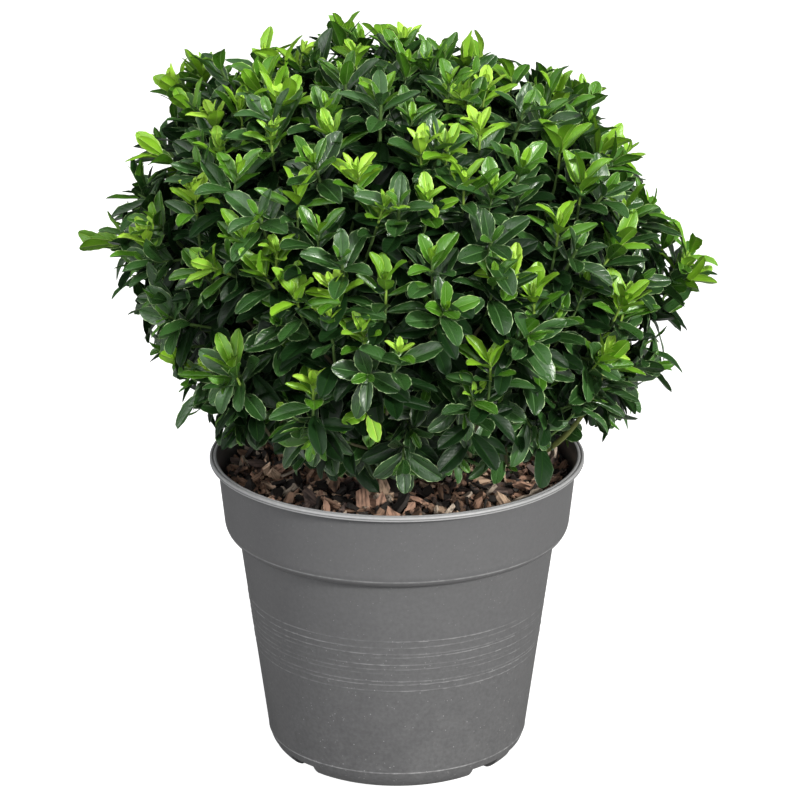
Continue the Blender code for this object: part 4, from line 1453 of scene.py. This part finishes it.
# Shoots that stand out in the photograph: pixels right and down, and lean to the right in degrees.
SEEN_SHOOTS = {
    Vigour.FLUSHING: (
        (302, 54, 5), (355, 56, 0), (284, 102, 10), (271, 134, 0), (213, 116, -5), (219, 146, 0),
        (195, 194, -5), (332, 132, -10), (357, 172, 0), (383, 208, 10), (146, 238, -10), (277, 252, 10),
        (485, 88, 5), (463, 98, -20), (480, 128, 0), (448, 146, 0), (421, 146, 0), (429, 200, 0),
        (514, 270, 0), (681, 270, 30), (333, 288, -20), (363, 332, 0), (313, 384, 0),
        (210, 266, -60), (606, 352, 24), (627, 300, 10),
        (176, 84, -40), (482, 52, 10), (404, 40, 5), (203, 66, 0),
    ),
    Vigour.BRIGHT: (
        (203, 78, 0), (189, 110, -35), (282, 62, -15), (260, 92, -35), (241, 110, 0), (277, 94, 0),
        (286, 100, 30), (381, 102, 0), (297, 196, 5), (244, 238, 0), (162, 154, -45), (124, 242, -80),
        (465, 62, 5), (511, 76, 0), (556, 102, 5), (560, 146, 0), (464, 184, 0), (582, 184, 5),
        (559, 226, 5), (623, 212, 5), (603, 150, 45), (617, 246, 30), (668, 236, 20), (262, 272, -30),
        (296, 298, -15), (386, 284, 0), (534, 298, 0), (672, 284, 70), (490, 362, 0), (232, 366, -20),
        (184, 364, -65), (606, 364, 30), (622, 304, 25), (110, 244, -85), (688, 280, 75), (690, 252, 25),
        (264, 56, -10), (346, 38, -5), (180, 92, -55),
    ),
    Vigour.GROWING: (
        (343, 42, 0), (398, 50, 0), (441, 60, 0), (428, 66, -15), (319, 232, 0), (140, 182, -20),
        (129, 232, -15), (238, 174, 10), (327, 114, 0), (588, 106, 30), (613, 164, 65), (493, 190, 10),
        (494, 278, 0), (522, 334, 35), (592, 428, 75), (540, 98, -30), (432, 262, 0), (650, 206, 30),
    ),
    Vigour.RESTING: (
        (150, 262, -80), (162, 300, -80), (170, 322, -85), (168, 348, -85), (198, 384, -60),
        (214, 402, -75), (224, 414, -110), (640, 366, 80), (624, 396, 110), (604, 412, 140), (664, 312, 80),
        (652, 340, 60), (650, 366, 80), (152, 350, -80), (138, 194, -60), (574, 414, 35), (592, 392, 40),
        (584, 400, 60), (608, 380, 50),
    ),
    Vigour.BUDDING: (
        (210, 370, -40), (291, 416, -55), (399, 352, 5), (474, 396, 0), (258, 456, -30), (330, 318, 0),
    ),
}
SEEN_BOUGH = ((548, 449), (582, 428), (602, 376))

# Round patches where the photograph shows sky right beside the crown: pixels right, down and radius.
SEEN_SKY = (
    (310, 22, 14), (380, 10, 13), (440, 20, 17), (500, 38, 14), (530, 50, 12), (556, 58, 8), (288, 26, 14),
    (240, 42, 12), (214, 42, 9), (155, 112, 11), (120, 145, 13), (114, 176, 17), (98, 216, 10),
    (102, 268, 12), (122, 306, 10), (134, 324, 8), (136, 342, 8), (136, 370, 12), (152, 392, 12),
    (170, 402, 11), (196, 430, 15), (616, 110, 12), (638, 118, 12), (650, 142, 10), (656, 172, 12),
    (674, 194, 14), (692, 222, 10), (696, 304, 10), (678, 344, 8), (654, 396, 14), (600, 460, 17),
)


@dataclass
class Leaves:
    """Leaves, each with one row in every array.

    Attributes:
        node: Where each leaf leaves its shoot.
        along: The way its midrib points at its foot.
        normal: The way its upper face looks.
        length: Its length.
        broad: Its width as a share of its length.
        fold: How steeply its halves rise from the midrib, in radians.
        curl: How far its tip bends down from its foot, in radians.
        point: How pointed its tip is, as a power.
        age: Its age.
        spray: The number of its shoot.
        rank: How many pairs stand between it and its shoot's tip.
    """

    node: Array
    along: Array
    normal: Array
    length: Array
    broad: Array
    fold: Array
    curl: Array
    point: Array
    age: Whole
    spray: Whole
    rank: Whole

    def kept(self, keep: NDArray[np.bool_]) -> "Leaves":
        """The leaves for which keep is true."""
        return Leaves(*(getattr(self, name)[keep] for name in self.__dataclass_fields__))


@dataclass
class LeafShape:
    """One leaf's outline and relief, for any number of leaves at once."""

    rows: tuple[float, ...] = (0.05, 0.14, 0.24, 0.35, 0.46, 0.57, 0.68, 0.78, 0.88, 0.96)
    strip: float = 0.945
    rib: float = 0.045
    tooth: float = 0.045
    foot_power: float = 0.88
    wave: float = 0.02

    def template(self) -> tuple[Array, Array]:
        """The share along the leaf and the share across it of each of its points.

        The points are rows of six, edge, strip, two sides of the rib, strip, edge, then the foot
        and the tip. Every other row's edges are drawn in, which makes the teeth.

        Returns:
            The shares along and the shares across.
        """
        rows = np.array(self.rows)
        tooth = self.tooth * np.where(np.arange(len(rows)) % 2, 1.0, -1.0) * (rows > 0.25)
        edge, inner = 1.0 + tooth, np.full(len(rows), self.strip)
        rib = np.full(len(rows), self.rib)
        across = np.stack([-edge, -inner, -rib, rib, inner, edge], 1)
        along = np.repeat(rows, across.shape[1])
        return np.concatenate([along, [0.0, 1.0]]), np.concatenate([across.ravel(), [0.0, 0.0]])

    def half_width(self, along: Array, point: Array) -> Array:
        """Half the width at each share along, with its most at 1.

        It is s to the foot's power times 1 - s to the tip's power, over the most that reaches.

        Args:
            along: The shares along the leaf, as (points,).
            point: Each leaf's power at the tip, as (leaves, 1).

        Returns:
            The half widths, as (leaves, points).
        """
        p, q = self.foot_power, point
        most = (p / (p + q)) ** p * (q / (p + q)) ** q
        return along**p * (1.0 - along) ** q / most

    def points(self, leaves: Leaves) -> Array:
        """Every leaf's points, as (leaves, points, 3).

        The midrib is an arc that bends away from the upper face: for a curl c it lies sin(c s) / c
        along and (1 - cos(c s)) / c down. A half rises from it by the sine of the fold and reaches
        out by its cosine, with a slight wave along the edge.

        Args:
            leaves: The leaves.

        Returns:
            The points in the object's own frame.
        """
        along, across = self.template()
        curl = np.where(np.abs(leaves.curl) < 1e-3, 1e-3, leaves.curl)[:, None]
        x = np.sin(curl * along) / curl
        z = -(1.0 - np.cos(curl * along)) / curl
        half = self.half_width(along, leaves.point[:, None])
        side = 0.5 * leaves.broad[:, None] * half * across
        fold = leaves.fold[:, None]
        ruffle = self.wave * np.sin(9.0 * along + 2.4 * leaves.spray[:, None]) * np.abs(across)
        y, lift = side * np.cos(fold), np.abs(side) * np.sin(fold) + ruffle * half
        lean = curl * along
        x, z = x + lift * np.sin(lean), z + lift * np.cos(lean)
        third = np.cross(leaves.normal, leaves.along)
        local = np.stack([x, y, z], -1) * leaves.length[:, None, None]
        return leaves.node[:, None] + np.einsum(
            "lpa,lai->lpi", local, np.stack([leaves.along, third, leaves.normal], 1)
        )

    def faces(self) -> tuple[Whole, Whole, Whole, Whole]:
        """One leaf's quads and triangles, and for each 0 for blade, 1 for pale edge, 2 for rib."""
        rows, wide = len(self.rows), 6
        grid = np.arange(rows * wide).reshape(rows, wide)
        quads = np.stack([grid[:-1, :-1], grid[1:, :-1], grid[1:, 1:], grid[:-1, 1:]], -1)
        foot = np.stack([np.full(wide - 1, rows * wide), grid[0, :-1], grid[0, 1:]], -1)
        tip = np.stack([np.full(wide - 1, rows * wide + 1), grid[-1, 1:], grid[-1, :-1]], -1)
        kinds = np.tile([1, 0, 2, 0, 1], rows - 1)
        return quads.reshape(-1, 4), np.concatenate([foot, tip]), kinds, np.array([0, 0, 2, 0, 0, 1, 0, 0, 0, 1])

    def surface(self, leaves: Leaves, blade: Whole, edge: int, rib: int) -> Surface:
        """All the leaves as one surface.

        Args:
            leaves: The leaves.
            blade: Each leaf's tone.
            edge: The tone of the pale edges.
            rib: The tone of the midribs.

        Returns:
            The surface.
        """
        quads, fans, *kinds = self.faces()
        along, across = self.template()
        points = self.points(leaves)
        count, each = points.shape[:2]
        shift = (np.arange(count) * each)[:, None, None]
        tones = np.stack([blade, np.full(count, edge), np.full(count, rib)], 1)
        place = np.stack(np.broadcast_arrays(across, along, np.arange(count)[:, None] * 1.7), -1)
        return Surface(
            points.reshape(-1, 3),
            [(quads + shift).reshape(-1, 4), (fans + shift).reshape(-1, 3)],
            [tones[:, kind].ravel() for kind in kinds],
            place.reshape(-1, 3),
        )


@dataclass
class Foliage:
    """The crown's shoots and leaves."""

    crown: Crown
    shape: LeafShape = field(default_factory=LeafShape)
    old_shape: LeafShape = field(default_factory=lambda: LeafShape((0.07, 0.20, 0.36, 0.54, 0.72, 0.88, 0.97)))
    fine_count: int = 400
    fine_reach: tuple[float, float] = (0.60, 0.83)
    leader_share: float = 0.10
    leader_gain: float = 0.07
    seen_reach: float = 0.87
    seen_room: float = 7.0
    inner_count: int = 250
    inner_reach: tuple[float, float] = (0.42, 0.78)
    leafy: float = 0.062
    most_reach: float = 1.03
    least_leaves: int = 7
    least_tip: int = 2
    bough_room: float = 0.0125
    light_pull: float = 0.42
    rim_margin: float = 0.012
    skirt: tuple[float, float] = (0.219, 0.233)
    hanging_share: float = 0.18
    piece_leaves: int = 1800
    seed: int = 5

    blades = {
        Age.LIME: (
            Blade("lime_leaf", (0.340, 0.590, 0.048), 0.36),
            Blade("lime_leaf_deep", (0.235, 0.465, 0.036), 0.34),
        ),
        Age.FRESH: (
            Blade("fresh_leaf", (0.205, 0.425, 0.022), 0.32),
            Blade("fresh_leaf_deep", (0.130, 0.310, 0.015), 0.32),
        ),
        Age.MIDDLE: (
            Blade("green_leaf", (0.068, 0.200, 0.012), 0.30, 0.60),
            Blade("green_leaf_deep", (0.044, 0.140, 0.009), 0.30, 0.60),
        ),
        Age.MATURE: (
            Blade("dark_leaf", (0.033, 0.097, 0.020), 0.30, 0.72),
            Blade("dark_leaf_deep", (0.017, 0.056, 0.010), 0.30, 0.72),
        ),
        # Old leaves sit deep in the crown: their near-black green is partly their own colour and partly painted
        # shade.
        Age.OLD: (
            Blade("old_leaf", (0.0075, 0.027, 0.006), 0.36, 0.24),
            Blade("old_leaf_deep", (0.005, 0.018, 0.004), 0.36, 0.24),
        ),
    }
    edges = {
        Age.LIME: Blade("lime_edge", (0.540, 0.720, 0.110), 0.45),
        Age.FRESH: Blade("fresh_edge", (0.380, 0.580, 0.100), 0.45),
        Age.MIDDLE: Blade("green_edge", (0.380, 0.560, 0.180), 0.45),
        Age.MATURE: Blade("dark_edge", (0.320, 0.450, 0.210), 0.45),
        # The old leaves' edges are darkened the same way, partly painted shade.
        Age.OLD: Blade("old_edge", (0.036, 0.068, 0.026), 0.45),
    }
    ribs = {
        Age.LIME: Blade("lime_rib", (0.540, 0.740, 0.120), 0.42),
        Age.FRESH: Blade("fresh_rib", (0.310, 0.520, 0.070), 0.40),
        Age.MIDDLE: Blade("green_rib", (0.170, 0.340, 0.070), 0.38),
        Age.MATURE: Blade("dark_rib", (0.075, 0.165, 0.050), 0.36, 0.42),
        # So are the old leaves' ribs.
        Age.OLD: Blade("old_rib", (0.014, 0.044, 0.008), 0.36, 0.20),
    }

    def main_shoots(self) -> Shoots:
        """The shoots of the part's source, in their own places."""
        crown = self.crown
        out = crown.spiral(crown.main_count)
        owner = np.argmax(out @ crown.axes().T, axis=1)
        sway, change = crown.main_sway(owner)
        near, far = crown.main_reach
        reach = crown.reach(out)[:, None]
        heading = crown.heading(out, sway)
        base = crown.middle + out * near * reach
        tip = base + heading * (far - near + change[:, None]) * reach
        count = len(out)
        turn = np.arange(count) * GOLDEN_TURN
        heading = unit(heading + UP * np.interp(out[:, 2:], (-0.4, 0.1), (0.0, 0.5)))
        return Shoots(out, crown.mass_middles()[owner], tip, heading, np.zeros((count, 3)), np.full(count, 0.0019), turn)

    def fine_shoots(self, main: Shoots) -> Shoots:
        """The finer shoots between the main ones, each from a twig of the nearest main shoot.

        Args:
            main: The main shoots.

        Returns:
            The finer shoots.
        """
        crown = self.crown
        rng = np.random.default_rng(self.seed)
        out = crown.spiral(self.fine_count)
        out = unit(out + rng.normal(0.0, 0.03, out.shape))
        count = len(out)
        upright = np.interp(out[:, 2:], (-0.84, -0.4, 0.0, 1.0), (0.15, 0.50, 1.1, 1.0))
        heading = unit(0.75 * out + UP * upright + rng.uniform(-0.40, 0.40, (count, 3)))
        share = rng.uniform(*self.fine_reach, count)
        share += self.leader_gain * (rng.random(count) < self.leader_share)
        share *= np.interp(out[:, 2], (-0.84, -0.3, 0.1), (0.93, 0.965, 1.0))
        tip = crown.middle + out * (share * crown.reach(out))[:, None]
        root = self.twig_root(main, out, rng.uniform(0.35, 0.8, (count, 1)))
        bow = square_to(0.6 * rng.normal(size=(count, 3)) - out, heading) * rng.uniform(1.0, 4.5, (count, 1))
        turn = rng.uniform(0.0, math.tau, count)
        return Shoots(out, root, tip, heading, bow, np.full(count, 0.0013), turn)

    def twig_root(self, main: Shoots, out: Array, way: Array) -> Array:
        """Where a shoot's twig leaves the nearest main shoot, a share of the way along that.

        Args:
            main: The main shoots.
            out: The directions of the new shoots.
            way: Each one's share of the way, as (shoots, 1).

        Returns:
            The roots, as (shoots, 3).
        """
        parent = np.argmax(out @ main.out.T, axis=1)
        return main.root[parent] * (1.0 - way) + main.at(np.array((self.leafy,)))[parent, 0] * way

    def seen_shoots(self, main: Shoots, studio: Studio) -> tuple[Shoots, Whole]:
        """The shoots that stand out in the photograph, where the camera sees them on the crown.

        A shoot heads up, leans to its side and comes out of the crown a little, and its second
        pair of leaves opens to the left and the right, as they are seen.

        Args:
            main: The main shoots.
            studio: The studio with the camera.

        Returns:
            The shoots and the habit of each.
        """
        rows = np.array([row for group in SEEN_SHOOTS.values() for row in group], float)
        habit = np.repeat([int(kind) for kind in SEEN_SHOOTS], [len(group) for group in SEEN_SHOOTS.values()])
        lean = np.radians(rows[:, 2:])
        tip = self.crown.seen(studio, rows[:, :2], np.full((len(rows), 1), self.seen_reach))
        out = unit(tip - self.crown.middle)
        rng = np.random.default_rng(self.seed + 2)
        heading = UP * np.cos(lean) + ASIDE * np.sin(lean) + out * (0.0, 0.3, 0.0)
        heading = unit(heading + rng.uniform(-0.12, 0.12, out.shape))
        root = self.twig_root(main, out, rng.uniform(0.4, 0.8, (len(out), 1)))
        bow = square_to(0.4 * rng.normal(size=out.shape) - out, heading) * rng.uniform(2.0, 5.0, (len(out), 1))
        turn = rng.normal(0.0, 0.3, len(out))
        return Shoots(out, root, tip, heading, bow, np.full(len(out), 0.0014), turn), habit

    def inner_shoots(self, main: Shoots) -> Shoots:
        """The shaded shoots deep in the crown, which close it against the light behind it."""
        rng = np.random.default_rng(self.seed + 3)
        out = unit(self.crown.spiral(self.inner_count) + rng.normal(0.0, 0.05, (self.inner_count, 3)))
        heading = unit(out + 0.5 * UP + rng.uniform(-0.5, 0.5, out.shape))
        share = rng.uniform(*self.inner_reach, (len(out), 1))
        tip = self.crown.middle + out * share * self.crown.reach(out)[:, None]
        root = self.twig_root(main, out, rng.uniform(0.05, 0.3, (len(out), 1)))
        bow = square_to(rng.normal(size=out.shape), heading) * rng.uniform(0.2, 1.5, (len(out), 1))
        turn = rng.uniform(0.0, math.tau, len(out))
        return Shoots(out, root, tip, heading, bow, np.full(len(out), 0.0014), turn)

    def habits(self, shoots: Shoots, seen: Shoots, rng: np.random.Generator) -> Whole:
        """Deals a habit to each shoot: most of the lively ones high up, hardly any low down.

        On the photographed side few are lively, because the seen shoots are, and none is right
        beside one of those.

        Args:
            shoots: The shoots.
            seen: The seen shoots.
            rng: The source of chance.

        Returns:
            The habit of each.
        """
        rises = (-0.8, -0.45, -0.1, 0.3, 1.0)
        rise = shoots.out[:, 2]
        fewer = np.interp(shoots.out[:, 1], (-0.3, 0.1), (0.25, 1.0))
        fewer *= (shoots.out @ seen.out.T).max(1) < math.cos(math.radians(1.6 * self.seen_room))
        flushing = fewer * np.interp(rise, rises, (0.0, 0.03, 0.14, 0.22, 0.26))
        bright = flushing + fewer * np.interp(rise, rises, (0.0, 0.08, 0.20, 0.28, 0.32))
        growing = bright + np.interp(rise, rises, (0.16, 0.24, 0.30, 0.36, 0.40))
        drawn = rng.random(len(rise))
        return (drawn > flushing).astype(int) + (drawn > bright) + (drawn > growing)

    def leaves(self, shoots: Shoots, habit: Whole, rng: np.random.Generator) -> Leaves:
        """The leaves of the shoots: pairs that are a quarter turned from node to node.

        A leaf leaves its shoot by its opening angle, with its upper face to the shoot's tip. Then
        its foot twists so that the face turns to the light, and old leaves low down hang.

        Args:
            shoots: The shoots.
            habit: Each shoot's habit.
            rng: The source of chance.

        Returns:
            The leaves, before any is left out.
        """
        count, pairs = len(shoots.tip), len(HABITS[Vigour.FLUSHING].back)
        back, length, opening = (
            np.array([getattr(kind, name) for kind in HABITS.values()])[habit]
            for name in ("back", "length", "opening")
        )
        age = np.array([kind.ages for kind in HABITS.values()])[habit]
        grown = rng.uniform(0.86, 1.10, (count, 1))
        back = back * grown * MM
        node, way = shoots.at(back), shoots.way(back)
        node, way = (np.repeat(item[:, :, None], 2, axis=2) for item in (node, way))
        shape = (count, pairs, 2)
        first = square_to(np.broadcast_to(UP, shoots.heading.shape) + 0.01 * ASIDE, shoots.heading)
        second = np.cross(shoots.heading, first)
        turn = (
            shoots.turn[:, None, None]
            + np.arange(pairs)[None, :, None] * math.pi / 2.0
            + np.array((0.0, math.pi))[None, None, :]
            + rng.normal(0.0, 0.16, shape)
        )[..., None]
        side = first[:, None, None] * np.cos(turn) + second[:, None, None] * np.sin(turn)
        side = square_to(side, way)
        angle = np.radians(opening[:, :, None] + rng.normal(0.0, 8.0, shape))[..., None]
        along = way * np.cos(angle) + side * np.sin(angle)
        normal = way * np.sin(angle) - side * np.cos(angle)

        out = shoots.out[:, None, None]
        seniority = age[:, :, None, None] / 4.0
        low = np.clip(-out[..., 2:], 0.0, 1.0)
        hang = seniority * (0.08 + 0.95 * low) * rng.uniform(0.4, 1.15, (*shape, 1))
        along = unit(along - hang * UP + 0.12 * hang * out)
        light = UP * 0.9 + out * 0.32 + rng.normal(0.0, 0.34, (*shape, 3))
        pull = self.light_pull * (0.2 + 0.8 * seniority) * rng.uniform(0.5, 1.3, (*shape, 1))
        normal = square_to((1.0 - pull) * normal + pull * square_to(light, along), along)

        size = length[:, :, None] * grown[:, :, None] ** 0.5 * rng.uniform(0.84, 1.08, shape) * MM
        young = 1.0 - seniority[..., 0]
        flat = [item.reshape(-1, 3) for item in (node, along, normal)]
        ones = np.ones(shape)
        rest = [
            size,
            rng.uniform(0.38, 0.49, shape) - 0.01 * young,
            rng.uniform(0.14, 0.46, shape) + 0.08 * young,
            rng.uniform(-0.15, 0.75, shape) * ones,
            rng.uniform(0.54, 0.76, shape),
            age[:, :, None] * ones.astype(int),
            np.arange(count)[:, None, None] * ones.astype(int),
            np.arange(pairs)[:, None] * ones.astype(int),
        ]
        return Leaves(*flat, *(item.reshape(-1) for item in rest))

    def fitted(self, leaves: Leaves, rng: np.random.Generator) -> Leaves:
        """Shortens leaves that leave the crown's reach or come near the pot, and drops what still does."""
        count = len(leaves.age)
        floor = np.where(rng.random(count) < self.hanging_share, self.crown.floor, rng.uniform(*self.skirt, count))
        leaves.length *= np.where(self.inside(leaves, floor), 1.0, 0.84)
        return leaves.kept(self.inside(leaves, floor))

    def inside(self, leaves: Leaves, floor: Array) -> NDArray[np.bool_]:
        """True for leaves with all their points in the crown's reach, over the floor and off the rim."""
        points = self.shape.points(leaves)
        high = (points[..., 2] > floor[:, None]).all(1)
        over = points[..., 2] > self.crown.rim_height + self.rim_margin
        well_in = np.hypot(points[..., 0], points[..., 1]) < self.crown.rim_radius - self.rim_margin
        return high & (over | well_in).all(1) & (self.crown.share(points) < self.most_reach).all(1)

    def in_sky(self, points: Array, studio: Studio) -> NDArray[np.bool_]:
        """True for points that the camera sees where the photograph shows sky beside the crown."""
        sky = np.array(SEEN_SKY, float)
        away = np.linalg.norm(studio.pixels(points)[..., None, :] - sky[:, :2], axis=-1)
        return (away < sky[:, 2]).any(-1)

    def beside_bough(self, leaves: Leaves, path: Array, studio: Studio) -> NDArray[np.bool_]:
        """True for leaves that don't stand before the low bough where it shows over the bark.

        Args:
            leaves: The leaves.
            path: The bough's middle line.
            studio: The studio with the camera.

        Returns:
            Whether each leaf is kept.
        """
        seen = path[len(path) // 2 : len(path) // 2 + 9]
        eye = studio.rays(np.zeros((1, 2)))[0]
        front = np.concatenate([seen + unit(eye - seen) * step for step in (0.0, 0.015, 0.03, 0.045, 0.06)])
        middle = leaves.node + 0.5 * leaves.length[:, None] * leaves.along
        return np.linalg.norm(middle[:, None] - front, axis=-1).min(1) > self.bough_room

    def grow(self, wood: WoodFrame, studio: Studio) -> tuple[Shoots, Whole, Leaves]:
        """All the shoots, their habits and their leaves, seen from the studio's camera."""
        rng = np.random.default_rng(self.seed + 1)
        main = self.main_shoots()
        seen, seen_habit = self.seen_shoots(main, studio)
        fine = self.fine_shoots(main)
        crowded = (fine.out @ seen.out.T).max(1) > math.cos(math.radians(self.seen_room))
        others = Shoots.together([main, fine.kept(~crowded)])
        inner = self.inner_shoots(main)
        shaded = np.full(len(inner.tip), int(Vigour.SHADED))
        habit = np.concatenate([self.habits(others, seen, rng), seen_habit, shaded])
        shoots = Shoots.together([others, seen, inner])
        ends = shoots.at(np.array((0.0, 0.5, 1.0)) * self.leafy)
        clear = self.crown.clear(ends).all(1) & (shoots.tip[:, 2] > self.skirt[0])
        clear &= ~self.in_sky(shoots.tip, studio)
        shoots, habit = shoots.kept(clear), habit[clear]
        leaves = self.fitted(self.leaves(shoots, habit, rng), rng)
        leaves = leaves.kept(self.beside_bough(leaves, wood.low_bough_path(studio), studio))
        leaves = leaves.kept(~self.in_sky(self.shape.points(leaves), studio).any(1))
        leafy = np.bincount(leaves.spray, minlength=len(habit)) >= self.least_leaves
        leafy &= np.bincount(leaves.spray[leaves.rank < 3], minlength=len(habit)) >= self.least_tip
        leaves = leaves.kept(leafy[leaves.spray])
        leaves.spray = (np.cumsum(leafy) - 1)[leaves.spray]
        return shoots.kept(leafy), habit[leafy], leaves

    def build(self, shop: Workshop, wood: WoodFrame, studio: Studio, nodes: list[str]) -> None:
        """Makes the twigs and, age by age, the leaves.

        Args:
            shop: Makes the objects.
            wood: Makes the twigs.
            studio: The studio with the camera, which sees where the liveliest shoots stand.
            nodes: The masses of foliage in the frame.
        """
        shoots, habit, leaves = self.grow(wood, studio)
        twigs = wood.twigs(shoots, self.leafy, habit < 2)
        shop.show("twigs", twigs, [wood.twig, wood.green, wood.new], nodes)
        for age in Age:
            mine = leaves.kept(leaves.age == age)
            count = len(mine.age)
            parts = max(1, math.ceil(count / self.piece_leaves))
            group = np.arange(count) * parts // count
            shape = self.old_shape if age == Age.OLD else self.shape
            tones = [*self.blades[age], self.edges[age], self.ribs[age]]
            for part in range(parts):
                some = mine.kept(group == part)
                surface = shape.surface(some, some.spray % 2, 2, 3)
                name = f"{age.name.lower()}_leaves" + (f"_{part + 1}" if parts > 1 else "")
                shop.show(name, surface, tones, nodes, 11.0)


def corners() -> list[list[float]]:
    """The shown object's lowest and highest corner as plain numbers."""
    return [[float(number) for number in corner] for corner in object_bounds()]


def main() -> None:
    """Builds every piece and the studio."""
    logging.basicConfig(level=logging.INFO, format="%(name)s %(message)s")
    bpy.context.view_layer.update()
    shop = Workshop()
    crown = Crown()
    studio = Studio()
    wood = WoodFrame(crown)
    masses = [f"foliage_{name}" for name in crown.names]
    boughs = [f"bough_{name}" for name in crown.names]
    mulch = BarkMulch()
    shop.show("pot_shell", NurseryPot().surface(), [MouldedPlastic()], ["pot"])
    shop.show("soil_bed", SoilBed().surface(), [Earth()], ["potting_soil"])
    shop.show("bark_mulch", mulch.surface(), list(mulch.tones), ["bark_layer"])
    limbs = joined([wood.trunk(), wood.bough_tubes()])
    shop.show("trunk_and_boughs", limbs, [wood.bark], ["trunk", *boughs])
    stems = joined([wood.stems(), wood.low_bough(studio)])
    shop.show("stems", stems, [wood.twig, wood.low], masses)
    Foliage(crown).build(shop, wood, studio, masses)
    studio.build()
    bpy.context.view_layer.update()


if __name__ == "__main__":
    main()
